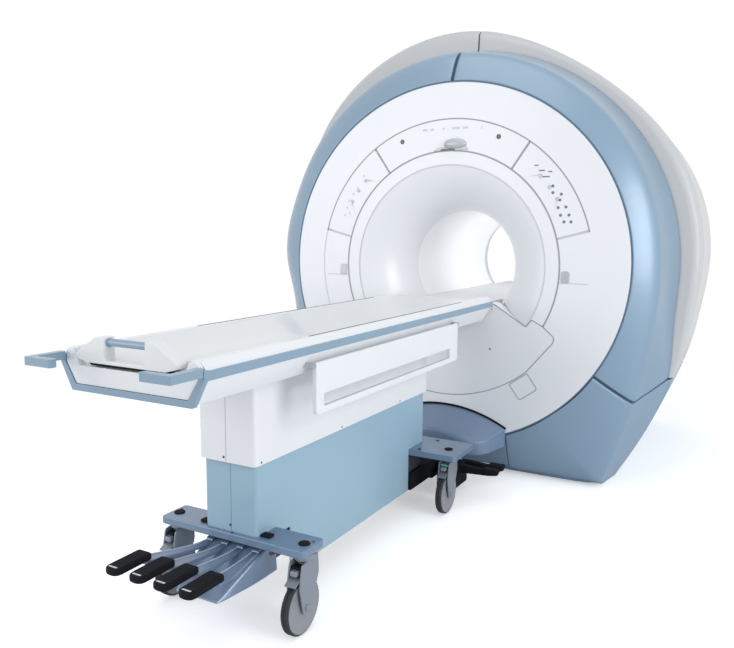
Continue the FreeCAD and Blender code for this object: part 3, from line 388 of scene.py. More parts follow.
def finish(name):
    if name in finishMade:
        return finishMade[name]
    want = finishes[name]
    mat = bpy.data.materials.new(name)
    mat.use_nodes = True
    tree = mat.node_tree
    shader = tree.nodes["Principled BSDF"].inputs
    for socket, key in (("Metallic", "metal"), ("Coat Weight", "coat"), ("Coat Roughness", "coatRough"),
                        ("Specular IOR Level", "specular")):
        shader[socket].default_value = want[key]
    surface = addNode(tree, "ShaderNodeGroup", node_tree=mouldedSurface, Base=want["colour"],
                      Drift=want["drift"] * 2, Rough=want["rough"], Grain_Scale=grainScale)
    bump = addNode(tree, "ShaderNodeBump", Strength=want["grain"], Distance=grainHeight)
    colour = surface.outputs["Color"]
    if want["dust"]:
        scuffs = addNode(tree, "ShaderNodeGroup", node_tree=floorScuffs, Dust=dustColour, Amount=want["dust"])
        colour = feed(tree, scuffs, colour)
    pairs = [(colour, shader["Base Color"]), (surface.outputs["Roughness"], shader["Roughness"]),
             (surface.outputs["Height"], bump.inputs["Height"]), (bump.outputs["Normal"], shader["Normal"])]
    # painted light: emission that grows along the bore, standing in for lamps inside it
    if want["glow"]:
        split = addNode(tree, "ShaderNodeSeparateXYZ")
        feed(tree, split, addNode(tree, "ShaderNodeTexCoord").outputs["Object"])
        pairs.append((mapNode(tree, split.outputs["Y"], *paintedGlowDepth, 0.0, 1.0), shader["Emission Color"]))
        shader["Emission Strength"].default_value = want["glow"]
    for source, socket in pairs:
        tree.links.new(source, socket)
    mat.diffuse_color = want["colour"]
    finishMade[name] = mat
    return mat


print("finishes ready:", len(finishes))

# mesh helpers


def reshape(data, *steps):
    # runs steps of mesh code on a mesh and writes the result back
    mesh = bmesh.new()
    mesh.from_mesh(data)
    for step in steps:
        step(mesh)
    mesh.to_mesh(data)
    mesh.free()


def weld(mesh, reach=1e-5):
    bmesh.ops.remove_doubles(mesh, verts=mesh.verts[:], dist=reach)


def faceOut(mesh):
    bmesh.ops.recalc_face_normals(mesh, faces=mesh.faces[:])


def smoothByAngle(piece, degrees=35):
    # smooth shading, with edges sharper than the angle kept hard
    def shade(mesh):
        for face in mesh.faces:
            face.smooth = True
        for edge in mesh.edges:
            if len(edge.link_faces) == 2:
                edge.smooth = edge.calc_face_angle(0) < math.radians(degrees)
    reshape(piece.data, faceOut, shade)


def shadeGroup():
    # smooth shading with hard creases, as a modifier
    group = bpy.data.node_groups.new("softShade", "GeometryNodeTree")
    for way in ("INPUT", "OUTPUT"):
        group.interface.new_socket("Geometry", in_out=way, socket_type="NodeSocketGeometry")
    given, gives = group.nodes.new("NodeGroupInput"), group.nodes.new("NodeGroupOutput")
    faces = addNode(group, "GeometryNodeSetShadeSmooth")
    edges = addNode(group, "GeometryNodeSetShadeSmooth", domain="EDGE", Shade_Smooth=False)
    angle = addNode(group, "GeometryNodeInputMeshEdgeAngle")
    sharp = addNode(group, "FunctionNodeCompare", data_type="FLOAT", operation="GREATER_THAN")
    hard = feed(group, sharp, angle.outputs["Unsigned Angle"], math.radians(32))
    feed(group, edges, feed(group, faces, given.outputs[0]), hard)
    feed(group, gives, edges.outputs[0])
    return group


softShade = shadeGroup()


def easeEdges(piece, width, segments=2, angle=38):
    # modifiers that weld, bevel where a width is given, and shade
    piece.modifiers.new("weld", "WELD").merge_threshold = 0.00002
    if width:
        bevel = piece.modifiers.new("bevel", "BEVEL")
        bevel.width = width
        bevel.segments = segments
        bevel.limit_method = "ANGLE"
        bevel.angle_limit = math.radians(angle)
        bevel.use_clamp_overlap = True
    piece.modifiers.new("shade", "NODES").node_group = softShade
    piece.modifiers.new("even", "WEIGHTED_NORMAL").keep_sharp = True


def addPiece(name, shape, finishName, body, node=None, slot=None, ease=None, crisp=None):
    # piece on a body; node is the CAD node that it replaces, ease the values of easeEdges,
    # crisp the angle of smoothByAngle
    data = bpy.data.meshes.new(name)
    data.from_pydata([tuple(v) for v in shape[0]], [], [tuple(f) for f in shape[1]])
    data.validate()
    data.update()
    piece = bpy.data.objects.new(name, data)
    collection.objects.link(piece)
    data.polygons.foreach_set("use_smooth", [True] * len(data.polygons))
    data.materials.append(finish(finishName))
    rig.ride(piece, body)
    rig.slot(piece, slot or finishes[finishName]["slot"])
    if ease is not None:
        easeEdges(piece, *ease)
    if crisp:
        smoothByAngle(piece, crisp)
    if node:
        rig.replaces(piece, node)
    return piece


def joinParts(parts):
    # several shapes, each its points and faces, as one
    verts, faces = [], []
    for v, f in parts:
        shift = len(verts)
        verts += [tuple(p) for p in v]
        faces += [tuple(i + shift for i in face) for face in f]
    return verts, faces


def gridFaces(rows, columns, closed=False, flip=False):
    faces = []
    for i in range(rows - 1):
        for j in range(columns if closed else columns - 1):
            k = (j + 1) % columns
            quad = (i * columns + j, i * columns + k, (i + 1) * columns + k, (i + 1) * columns + j)
            faces.append(quad[::-1] if flip else quad)
    return faces


def gridShape(points):
    return points.reshape(-1, 3), gridFaces(*points.shape[:2])


def loopShape(rows, start=False):
    # closed rings of points joined in a row, with the last one and on request the first one capped
    count, last = len(rows[0]), (len(rows) - 1) * len(rows[0])
    faces = gridFaces(len(rows), count, closed=True)
    if start:
        faces.append(tuple(range(count))[::-1])
    faces.append(tuple(range(last, last + count)))
    return [p for row in rows for p in row], faces


def revolved(profile, centre, steps):
    # (y, radius) profile about the line along Y through centre (x, z), clockwise from the top
    verts = [(centre[0] + r * math.sin(a), y, centre[1] + r * math.cos(a))
             for y, r in profile for a in circleTurns(steps)]
    return verts, gridFaces(len(profile), steps, closed=True)


def takeMesh(mesh):
    mesh.verts.ensure_lookup_table()
    mesh.normal_update()
    verts = [tuple(v.co) for v in mesh.verts]
    faces = [tuple(v.index for v in f.verts) for f in mesh.faces]
    mesh.free()
    return verts, faces


def roundBox(low, high, radius, steps=3):
    mesh = bmesh.new()
    bmesh.ops.create_cube(mesh, size=1)
    size = [h - l for l, h in zip(low, high)]
    for v in mesh.verts:
        v.co = Vector(((low[i] + high[i]) / 2 + v.co[i] * size[i] for i in range(3)))
    bmesh.ops.bevel(mesh, geom=mesh.edges[:], offset=min(radius, min(size) * 0.49), segments=steps,
                    profile=0.5,
                    affect="EDGES")
    return takeMesh(mesh)


def onAxis(axis, p, t):
    # point of a flat outline at a place along the axis
    return {"z": (p[0], p[1], t), "y": (p[0], t, p[1]), "x": (t, p[0], p[1])}[axis]


def slabShape(outline, low, high, radius, axis="z", steps=3, corner=0.0):
    # flat outline padded along an axis, corners rounded in the plane and edges rounded over
    if corner:
        outline = roundCorners(outline, corner)
    mesh = bmesh.new()
    bottom, top = ([mesh.verts.new(onAxis(axis, p, t)) for p in outline] for t in (low, high))
    count = len(outline)
    mesh.faces.new(bottom)
    mesh.faces.new(top)
    for i in range(count):
        mesh.faces.new((bottom[i], bottom[(i + 1) % count], top[(i + 1) % count], top[i]))
    faceOut(mesh)
    if radius:
        flat = "xyz".index(axis)
        rim = [e for e in mesh.edges if abs(e.verts[0].co[flat] - e.verts[1].co[flat]) < 1e-9]
        bmesh.ops.bevel(mesh, geom=rim, offset=radius, segments=steps, profile=0.5, affect="EDGES",
                        clamp_overlap=True)
    return takeMesh(mesh)


def frameShape(outer, inner, low, high, axis):
    # plate or wall between two outlines with the same number of corners
    count = len(outer)
    verts = [onAxis(axis, p, t) for t in (low, high) for outline in (outer, inner) for p in outline]
    faces = []
    for i in range(count):
        j = (i + 1) % count
        faces += [(i, j, count + j, count + i), (2 * count + i, 3 * count + i, 3 * count + j, 2 * count + j),
                  (i, 2 * count + i, 2 * count + j, j), (count + i, count + j, 3 * count + j, 3 * count + i)]
    return verts, faces


def roundCorners(outline, radius, steps=4):
    # a corner's own radius stands third in its point
    result = []
    count = len(outline)
    for i in range(count):
        here = Vector(outline[i][:2])
        size = outline[i][2] if len(outline[i]) > 2 else radius
        before = Vector(outline[i - 1][:2]) - here
        after = Vector(outline[(i + 1) % count][:2]) - here
        if size <= 0 or before.length < 1e-9 or after.length < 1e-9:
            result.append(tuple(here))
            continue
        reach = min(size / math.tan(before.angle(after) / 2), before.length * 0.49, after.length * 0.49)
        start, end = here + before.normalized() * reach, here + after.normalized() * reach
        for k in range(steps + 1):
            t = k / steps
            result.append(tuple(start * (1 - t) ** 2 + here * 2 * t * (1 - t) + end * t * t))
    return result


def rectangle(low, high, radius, steps=5):
    return roundCorners([(low[0], low[1]), (high[0], low[1]), (high[0], high[1]), (low[0], high[1])], radius,
                        steps)


def mirrored(right):
    # an outline's right half, followed by its left one
    return right + [(-p[0], *p[1:]) for p in reversed(right)]


def rodShape(start, end, radius, steps=24, chamfer=0.0):
    start, end = Vector(start), Vector(end)
    along = (end - start).normalized()
    side = along.orthogonal().normalized()
    other = along.cross(side)
    length = (end - start).length
    rings = [(0.0, radius - chamfer), (chamfer, radius), (length - chamfer, radius),
             (length, radius - chamfer)]
    if not chamfer:
        rings = rings[1:3]
    return loopShape([[tuple(start + along * at + (side * math.cos(a) + other * math.sin(a)) * r)
                       for a in circleTurns(steps)] for at, r in rings], start=True)


def studs(places, reach, radius, steps, chamfer):
    # row of round heads; reach is the way from the foot of a head to its top
    return joinParts([rodShape(p, Vector(p) + Vector(reach), radius, steps, chamfer) for p in places])


def tubeShape(path, radius, steps=16):
    # round tube along a smoothed path
    spots = [Vector(p) for p in path]
    rows, side = [], None
    for i, spot in enumerate(spots):
        ahead = (spots[min(i + 1, len(spots) - 1)] - spots[max(i - 1, 0)]).normalized()
        if side is None:
            side = ahead.orthogonal().normalized()
        side = (side - ahead * side.dot(ahead)).normalized()
        other = ahead.cross(side)
        rows.append([tuple(spot + (side * math.cos(a) + other * math.sin(a)) * radius)
                     for a in circleTurns(steps)])
    return loopShape(rows, start=True)


print("mesh helpers ready")

# outline of the magnet's covers: the same sections at the same depths, in metres
covers = {
    "front": -0.85, "creaseDepth": 0.122, "ringDepth": 0.34, "crestDepth": 0.38, "shellEnd": 0.82,
    "rear": 0.85,
    "ringBore": 0.947, "ringRim": 0.004, "faceCentre": 1.118, "ringCentre": 1.116,
    "taper": 0.93, "bulgePower": 1.8, "sole": -0.06, "creaseSole": 0.025,
    "fullFlank": [(0.815, -0.06), (0.968, 0.211), (1.036, 0.356), (1.137, 0.628), (1.193, 0.914)],
    "creaseFlank": [(0.826, 0.025), (0.900, 0.234), (0.970, 0.464), (1.017, 0.675), (1.059, 0.938)],
    "backFlank": [(0.815, -0.06), (0.968, 0.211), (1.036, 0.356), (1.088, 0.520), (1.106, 0.841)],
    "circleAngles": [-56, -44, -34, -23, -9.5],
    "crownAngles": [0, 25, 50, 70, 90, 115, 140, 160, 180],
    "creaseRadii": [1.066, 1.073, 1.085, 1.101, 1.115, 1.119, 1.113, 1.102, 1.104],
    "backRadii": [1.120, 1.123, 1.130, 1.145, 1.162, 1.167, 1.163, 1.157, 1.155],
    "fullRadii": [1.216, 1.222, 1.193, 1.216, 1.2805, 1.3115, 1.284, 1.2335, 1.2305],
    # the rear section keeps to the solids' values, so that the shells meet the rear cover
    "rearFlank": [(0.815, -0.06), (0.968, 0.211), (1.036, 0.356), (1.141, 0.628), (1.205, 0.914)],
    "rearRadii": [1.233, 1.228, 1.195, 1.223, 1.284, 1.290, 1.242, 1.228, 1.233],
    "seamFace": 0.591, "seamCorner": 0.459, "seamSide": 0.56, "shellSeam": 0.02, "ringSeam": 0.012,
    "skirtSplit": 0.353, "gap": 0.0045, "edge": 0.007, "shellEdge": 0.003, "backGap": 0.004,
    "shellFoot": 0.12, "shellLip": 0.8, "middleShare": 0.25, "gapShadeDepth": 0.012, "floorGap": 0.0005,
    "lip": [(-0.800, 0.0), (-0.846, 0.0002), (-0.8492, 0.0016)],
    "shellStart": [(0.001, -0.06), (0.0006, 0.03), (0.0008, 0.10), (0.003, 0.20)],
}


def sectionSpline(points):
    # natural cubic spline through the corners of a section, by chord length
    p = np.array(points, float)
    chord = np.r_[0, np.cumsum(np.linalg.norm(np.diff(p, axis=0), axis=1))]
    n, h = len(p), np.diff(chord)
    a, b = np.zeros((n, n)), np.zeros((n, 2))
    a[0, 0] = a[-1, -1] = 1
    for i in range(1, n - 1):
        a[i, i - 1:i + 2] = h[i - 1], 2 * (h[i - 1] + h[i]), h[i]
        b[i] = 6 * ((p[i + 1] - p[i]) / h[i] - (p[i] - p[i - 1]) / h[i - 1])
    return {"p": p, "m": np.linalg.solve(a, b), "h": h}


def onSection(spline, t):
    # point at t, which runs from 0 to the number of spans
    i = min(int(t), len(spline["h"]) - 1)
    h = spline["h"][i]
    x = (t - i) * h
    p0, p1, m0, m1 = spline["p"][i], spline["p"][i + 1], spline["m"][i], spline["m"][i + 1]
    u = h - x
    return (m0 * u ** 3 + m1 * x ** 3) / (6 * h) + (p0 / h - m0 * h / 6) * u + (p1 / h - m1 * h / 6) * x


def coverSections():
    c = covers

    def crown(radii, centre):
        return [(r * math.cos(math.radians(a)), centre + r * math.sin(math.radians(a)))
                for a, r in zip(c["crownAngles"], radii)]

    def section(flank, radii, centre=c["ringCentre"]):
        return np.array(flank + crown(radii, centre) + [(-x, z) for x, z in reversed(flank)])
    rim = c["ringBore"] + c["ringRim"]
    circle = [(rim * math.cos(math.radians(a)), c["faceCentre"] + rim * math.sin(math.radians(a)))
              for a in c["circleAngles"]]
    mouth = section(circle, [rim] * len(c["crownAngles"]), c["faceCentre"])
    crease, back, full, rear = (section(c[name + "Flank"], c[name + "Radii"])
                                for name in ("crease", "back", "full", "rear"))
    high = rear[:, 1] > c["ringCentre"]
    rear[:, 0] *= c["taper"]
    rear[high, 1] = c["ringCentre"] + (rear[high, 1] - c["ringCentre"]) * c["taper"]
    return mouth, crease, back, full, rear


mouthLine, creaseLine, backLine, fullLine, rearLine = coverSections()
spans = len(mouthLine) - 1


creaseY = covers["front"] + covers["creaseDepth"]
backY = covers["front"] + covers["ringDepth"]
crestY = covers["front"] + covers["crestDepth"]


def bulge(y):
    # share of the way from the mouth to the crease at depth y
    depth = max(0.0, (y - covers["front"]) / covers["creaseDepth"])
    return 1 - (1 - depth) ** covers["bulgePower"]


def ringSection(y):
    if y <= creaseY:
        return mouthLine + (creaseLine - mouthLine) * bulge(y)
    return creaseLine + (backLine - creaseLine) * min(1.0, (y - creaseY) / (backY - creaseY))


def shellSection(y):
    c = covers
    step = fullLine - backLine
    stops = [(backY, backLine + step * c["shellFoot"]),
             (backY + (crestY - backY) / 4, backLine + step * c["shellLip"]),
             (crestY, fullLine), ((crestY + c["shellEnd"]) / 2,
                                  fullLine + (rearLine - fullLine) * c["middleShare"]),
             (c["shellEnd"], rearLine), (c["rear"], rearLine)]
    for (y0, s0), (y1, s1) in zip(stops, stops[1:]):
        if y <= y1 + 1e-9:
            return s0 + (s1 - s0) * max(0.0, (y - y0) / (y1 - y0))
    return rearLine


def seamHeight(y):
    # straight as seen from the front, then straight up to the side
    c = covers
    sideY = backY + 0.01
    if y <= creaseY:
        return c["seamFace"] + (c["seamCorner"] - c["seamFace"]) * bulge(y)
    return c["seamCorner"] + (c["seamSide"] - c["seamCorner"]) * min(1.0, (y - creaseY) / (sideY - creaseY))


def loopLine(points, sole, count=420):
    # dense closed outline of one section: bottom centre, right flank, crown, left flank, bottom centre
    spline = sectionSpline(points)
    top = np.array([onSection(spline, t) for t in np.linspace(0, spans, count)])
    right, left = top[0], top[-1]
    low = np.array([0.0, min(sole, right[1] - 1e-4)])
    # circle through the left foot, the sole and the right foot
    half, rise = right[0], right[1] - low[1]
    radius = (half * half + rise * rise) / (2 * rise)
    turn = math.asin(min(1.0, half / radius)) if rise < radius else math.pi - math.asin(half / radius)
    angles = np.linspace(0, turn, 60)
    sweep = np.stack([radius * np.sin(angles), low[1] + radius - radius * np.cos(angles)], 1)
    return np.vstack([sweep[:-1], top, (sweep * [-1, 1])[::-1][1:]])


def soleAt(y):
    c = covers
    if y > creaseY:
        return c["creaseSole"] + min(1.0, (y - creaseY) / (backY - creaseY)) * (c["sole"] - c["creaseSole"])
    mouth = c["faceCentre"] - c["ringBore"] - c["ringRim"]
    return mouth + bulge(y) * (c["creaseSole"] - mouth)


def lengthsOf(line):
    return np.r_[0, np.cumsum(np.linalg.norm(np.diff(line, axis=0), axis=1))]


def crossing(line, run, test, first, last):
    # length along the outline at which the test changes sign, looked for between two shares of it
    values = test(line)
    ids = np.arange(len(line) - 1)
    inside = (run[:-1] >= first * run[-1]) & (run[1:] <= last * run[-1])
    hit = ids[inside & (np.sign(values[:-1]) != np.sign(values[1:]))][0]
    share = values[hit] / (values[hit] - values[hit + 1])
    return run[hit] + share * (run[hit + 1] - run[hit])


def sampleAt(line, run, spots):
    return np.stack([np.interp(spots, run, line[:, 0]), np.interp(spots, run, line[:, 1])], 1)


def coverGrid(stops, start, end, columns):
    # rows of points over one cover between two ends of each section's outline;
    # stops are (depth, section) pairs
    rows = []
    for y, section in stops:
        line = loopLine(section, soleAt(y))
        run = lengthsOf(line)
        a, b = start(line, run, y), end(line, run, y)
        flat = sampleAt(line, run, np.linspace(a, b, columns))
        rows.append(np.stack([flat[:, 0], np.full(columns, y), flat[:, 1]], 1))
    return np.array(rows)


def gridNormals(points):
    across = np.gradient(points, axis=1)
    along = np.gradient(points, axis=0)
    normal = np.cross(across, along)
    normal /= np.linalg.norm(normal, axis=2, keepdims=True) + 1e-12
    outward = points - np.array([0, 0.3, 1.0])
    return normal * (1 if (normal * outward).sum() > 0 else -1)


def rollEdge(points, normals, radius, thick, at):
    # a border rolled over and led inwards: at is "first", "last" row
    order = slice(None) if at == "first" else slice(None, None, -1)
    p, n = points[order], normals[order]
    away = p[0] - p[1]
    away -= n[0] * (away * n[0]).sum(-1, keepdims=True)
    away /= np.linalg.norm(away, axis=-1, keepdims=True) + 1e-12
    extra = []
    for a in (30, 60, 90):
        a = math.radians(a)
        extra.append(p[0] + away * radius * math.sin(a) - n[0] * radius * (1 - math.cos(a)))
    extra.append(extra[-1] - n[0] * thick)
    p = np.concatenate([np.array(extra[::-1]), p])
    n = np.concatenate([np.repeat(n[:1], 4, 0), n])
    return p[order], n[order]


def coverPiece(name, points, finishName, node, radius=0.006, thick=0.02, edges=("start", "end", "last")):
    # one moulded cover from its grid of points, with the named borders rolled inwards
    normals = gridNormals(points)
    for edge in edges:
        if edge in ("first", "last"):
            points, normals = rollEdge(points, normals, radius, thick, edge)
    points, normals = points.transpose(1, 0, 2), normals.transpose(1, 0, 2)
    for edge, at in (("start", "first"), ("end", "last")):
        if edge in edges:
            points, normals = rollEdge(points, normals, radius, thick, at)
    points = points.copy()
    points[..., 2] = np.maximum(points[..., 2], covers["floorGap"])
    piece = addPiece(name, gridShape(points), finishName, "magnet", node)

    def turnOut(mesh):
        faces = sorted(mesh.faces, key=lambda f: -f.calc_area())[:50]
        if sum(f.normal.dot(f.calc_center_median() - Vector((0, 0.1, 1.0))) for f in faces) < 0:
            bmesh.ops.reverse_faces(mesh, faces=mesh.faces[:])
    reshape(piece.data, lambda mesh: weld(mesh, 1e-6), faceOut, turnOut)


def heightEnd(height, side, inset):
    # place on the outline at that height on one side, moved by the inset
    def place(line, run, y):
        first, last = (0.02, 0.5) if side > 0 else (0.5, 0.98)
        try:
            return crossing(line, run, lambda p: p[:, 1] - height(y), first, last) + inset
        except IndexError:
            return (0.0 if side > 0 else run[-1]) + inset
    return place


def crownEnd(x, inset, first=0.3, last=0.7):
    # place on the outline at that width, looked for between two shares of it
    def place(line, run, y):
        return crossing(line, run, lambda p: p[:, 0] - x, first, last) + inset
    return place


def spread(first, last, count, power=1.0):
    return [first + (last - first) * (i / (count - 1)) ** power for i in range(count)]


def ringDepths():
    return spread(covers["front"], creaseY, 14, 1.6) + spread(creaseY, backY - covers["backGap"], 8)[1:]


def shellDepths(low, high):
    return [(y, shellSection(y)) for y in spread(backY + 0.005, crestY, low)
            + spread(crestY, covers["shellEnd"], high)[1:]]


def faceLip(mouth):
    # inner lip of the ring that turns back along the face
    lip = []
    for y, more in covers["lip"]:
        flat = mouth[:, [0, 2]] - [0, covers["faceCentre"]]
        flat *= (covers["ringBore"] + more) / np.linalg.norm(flat, axis=1, keepdims=True)
        lip.append(np.stack([flat[:, 0], np.full(len(flat), y), flat[:, 1] + covers["faceCentre"]], 1))
    return np.array(lip)


def buildCovers():
    c = covers
    inset, small = c["gap"] + c["edge"], c["gap"] + c["shellEdge"]
    ringStops = [(y, ringSection(y)) for y in ringDepths()]
    rise = [(backY + y, backLine + (fullLine - backLine) * share) for y, share in c["shellStart"]]
    shellStops = rise + shellDepths(7, 22)
    skirtStops = ringStops + rise[1:3] + shellDepths(5, 16)
    for side, start, end in (("right", heightEnd(seamHeight, 1, inset), crownEnd(c["ringSeam"], -inset)),
                             ("left", crownEnd(c["ringSeam"], inset), heightEnd(seamHeight, -1, -inset))):
        grid = coverGrid(ringStops, start, end, 110)
        coverPiece("ringCover_" + side, np.concatenate([faceLip(grid[0]), grid]), "ringBlue",
                   "ring_cover_" + side, 0.002)
    for side, start, end in (("right", heightEnd(seamHeight, 1, small), crownEnd(c["shellSeam"], -small)),
                             ("left", crownEnd(c["shellSeam"], small), heightEnd(seamHeight, -1, -small))):
        coverPiece("shellCover_" + side, coverGrid(shellStops, start, end, 120), "shellWhite",
                   "shell_" + side, 0.003)
    for side, start, end in (
            ("right", crownEnd(c["skirtSplit"], small, 0.0, 0.25), heightEnd(seamHeight, 1, -inset)),
            ("left", heightEnd(seamHeight, -1, inset), crownEnd(-c["skirtSplit"], -small, 0.75, 1.0))):
        coverPiece("skirtCover_" + side, coverGrid(skirtStops, start, end, 60), "ringBlue", "skirt_" + side)


def buildGapShadeSheet():
    # painted shade: a dark blue sheet under the covers that shows as the shade in the gaps between them
    c = covers
    stops = [(y, ringSection(y)) for y in ringDepths()]
    stops += [(y, shellSection(y)) for y in spread(crestY, c["shellEnd"] - 0.01, 6)]
    grid = coverGrid(stops, lambda line, run, y: 0.0, lambda line, run, y: run[-1], 160)
    grid -= gridNormals(grid) * c["gapShadeDepth"]
    grid[..., 2] = np.maximum(grid[..., 2], 0.02)
    addPiece("gapShadeSheet", gridShape(grid), "gapShadeBlue", "magnet")


buildCovers()
buildGapShadeSheet()
print("magnet covers built")

# front of the magnet: face disc, mouth, lower shield, panels and marks
front = {
    "plane": -0.85, "bore": 1.110, "faceCentre": 1.118, "mouth": 0.603, "seam": 0.530,
    "tube": 0.300, "tubeHalf": 0.560, "panelOuter": 0.765, "panelDepth": 0.006, "consoleSpan": 68.6,
    "keysSpan": 40,
    "shield": [(0.268, 0.925, 0), (0.442, 0.816, 0.006), (0.472, 0.854, 0.010), (0.532, 0.821, 0.012),
               (0.591, 0.769, 0.020), (0.581, 0.741, 0.012), (0.453, 0.586, 0.014)],
    "arch": 0.703, "shieldDepth": 0.10, "doorRadius": 0.748, "doorTurn": 36, "doorSize": (0.112, 0.094),
    "fit": 0.0018, "cradleSlot": (0.2165, 0.905, 0.95), "clearSlot": (0.26, 0.89, 0.96),
    "gap": (0.9405, 0.9468),
    "lipRing": [(0.016, 0.600), (0.004, 0.6015), (0.0012, 0.6008), (0, 0.5988), (0, 0.5340), (0.0008, 0.5326),
                (0.004, 0.5318), (0.004, 0.5304), (0.0012, 0.5296)],
    "bellBack": [(0.30, 0.318), (0.2, 0.36), (0.1, 0.43), (0.03, 0.55)],
    "rim": [(0.025, 0.940), (0.005, 0.940), (0.0015, 0.939), (0.0004, 0.9372), (0, 0.9345)],
}
faceY = front["plane"]
boreLine, faceLine = (0, front["bore"]), (0, front["faceCentre"])


def cutAway(piece, *cutters):
    held = []
    for verts, faces in cutters:
        data = bpy.data.meshes.new("cutter")
        data.from_pydata(verts, [], faces)
        reshape(data, faceOut)
        tool = bpy.data.objects.new("cutter", data)
        collection.objects.link(tool)
        step = piece.modifiers.new("cut", "BOOLEAN")
        step.operation = "DIFFERENCE"
        step.solver = "EXACT"
        step.object = tool
        held.append(tool)
    bpy.context.view_layer.update()
    graph = bpy.context.evaluated_depsgraph_get()
    baked = bpy.data.meshes.new_from_object(piece.evaluated_get(graph))
    piece.modifiers.clear()
    piece.data = baked
    for tool in held:
        data = tool.data
        bpy.data.objects.remove(tool)
        bpy.data.meshes.remove(data)


def shieldOutline(grow=0.0):
    right = front["shield"]
    foot, radius = right[-1], front["arch"]
    centre = foot[1] + math.sqrt(radius ** 2 - foot[0] ** 2)
    half = math.asin(foot[0] / radius)
    arc = [(radius * math.sin(a), centre - radius * math.cos(a), 0)
           for a in (half * (1 - 2 * i / 48) for i in range(1, 48))]
    outline = roundCorners(right + arc + [(-x, z, r) for x, z, r in reversed(right)], 0)
    if not grow:
        return outline
    count, moved = len(outline), []
    for i in range(count):
        a, b, c = (Vector(outline[j % count]) for j in (i - 1, i, i + 1))
        n1, n2 = (b - a).normalized(), (c - b).normalized()
        n = Vector((n1.y + n2.y, -n1.x - n2.x))
        n = n.normalized() if n.length > 1e-9 else Vector((n1.y, -n1.x))
        away = n if n.dot(b - Vector((0, 0.7))) >= 0 else -n
        moved.append(tuple(b + away * grow))
    return moved


def doorOutline(grow=0.0):
    turn = math.radians(front["doorTurn"])
    middle = Vector((front["doorRadius"] * math.sin(turn),
                     front["bore"] - front["doorRadius"] * math.cos(turn)))
    across = Vector((math.cos(turn), math.sin(turn))) * (front["doorSize"][0] / 2 + grow)
    up = Vector((-math.sin(turn), math.cos(turn))) * (front["doorSize"][1] / 2 + grow)
    corners = [middle - across - up, middle + across - up, middle + across + up, middle - across + up]
    return roundCorners([(p.x, p.y, r) for p, r in zip(corners, (0.016, 0.016, 0.004, 0.004))], 0.01)


def polar(radius, angle, centre=boreLine):
    # place at that angle round the bore, in degrees clockwise from the top
    a = math.radians(angle)
    return centre[0] + radius * math.sin(a), centre[1] + radius * math.cos(a)


def arcRow(radius, start, span, y, steps):
    return [(x, y, z) for x, z in (polar(radius, start + span * j / steps) for j in range(steps + 1))]


def sectorShape(inner, outer, start, span, low, high, steps):
    verts = [p for y, r in ((low, inner), (low, outer), (high, outer), (high, inner))
             for p in arcRow(r, start, span, y, steps)]
    n = steps + 1
    faces = []
    for k in range(4):
        for j in range(steps):
            a, b = k * n + j, ((k + 1) % 4) * n + j
            faces.append((a, a + 1, b + 1, b))
    return verts, faces + [(0, n, 2 * n, 3 * n), tuple(k * n + n - 1 for k in (3, 2, 1, 0))]


def throughFace(outline, depth=0.05):
    return slabShape(outline, faceY - 0.02, faceY + depth, 0, "y")


def buildFace():
    f = front
    profile = [(faceY + f["rim"][0][0], 0.0)] + [(faceY + y, r) for y, r in f["rim"]] + [(faceY, 0.0)]
    face = addPiece("faceDisc", revolved(profile, faceLine, 180), "whiteCover", "magnet")
    reshape(face.data, weld, faceOut)
    span = f["consoleSpan"] + 2 * f["keysSpan"] + 3
    mouth = f["mouth"] + 0.0015
    hole, faces = revolved([(faceY - 0.02, mouth), (faceY + 0.05, mouth)], boreLine, 144)
    cutAway(face, (hole, faces + [tuple(range(144)), tuple(range(144, 288))]),
            sectorShape(0.59, f["panelOuter"], -span / 2, span, faceY - 0.01, faceY + f["panelDepth"], 90),
            throughFace(shieldOutline(f["fit"])), throughFace(doorOutline(f["fit"])))
    easeEdges(face, 0.0012, 2)
    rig.replaces(face, "front_face")
    addPiece("doorLeaf", slabShape(doorOutline(), faceY, faceY + 0.01, 0.0012, "y", 2), "whiteCover",
             "magnet", "service_door", ease=(0,))
    shape = slabShape(shieldOutline(), faceY + 0.0003, faceY + f["shieldDepth"], 0.0016, "y", 2)
    shield = addPiece("lowerShield", shape, "whiteCover", "magnet", "shield_panel")
    half, low, high = f["cradleSlot"]
    cutAway(shield, roundBox((-half, faceY - 0.01, low), (half, faceY + 0.2, high), 0.001, 1))
    easeEdges(shield, 0)


def bellProfile(sign):
    # true arc from the face to the tube, with the groove between lip ring and bell
    f = front
    run, rise = -faceY - f["tubeHalf"], f["seam"] - f["tube"]
    radius = (run * run + rise * rise) / (2 * rise)
    turn = math.asin(run / radius)
    arc = [(0.0006 - f["tubeHalf"] - radius * math.sin(a), f["tube"] + radius - radius * math.cos(a))
           for a in (turn * (1 - i / 40) for i in range(1, 41))]
    lip, back = ([(faceY + y, r) for y, r in f[key]] for key in ("lipRing", "bellBack"))
    return [(-sign * y, r) for y, r in lip + arc + back]


def buildBells():
    for name, sign, node in (("frontBell", -1, "front_flare"), ("rearBell", 1, "rear_flare")):
        profile = bellProfile(sign)
        bell = addPiece(name, revolved(profile + profile[:1], boreLine, 168), "whiteCover", "magnet",
                        node)
        reshape(bell.data, weld, faceOut)
        if sign < 0:
            cutAway(bell, throughFace(shieldOutline(front["fit"]), 0.152))
        easeEdges(bell, 0)


def stripRing(radius, width, start, span, y, steps=96):
    # flat ring strip that faces forward
    return (arcRow(radius - width / 2, start, span, y, steps)
            + arcRow(radius + width / 2, start, span, y, steps),
            gridFaces(2, steps + 1))


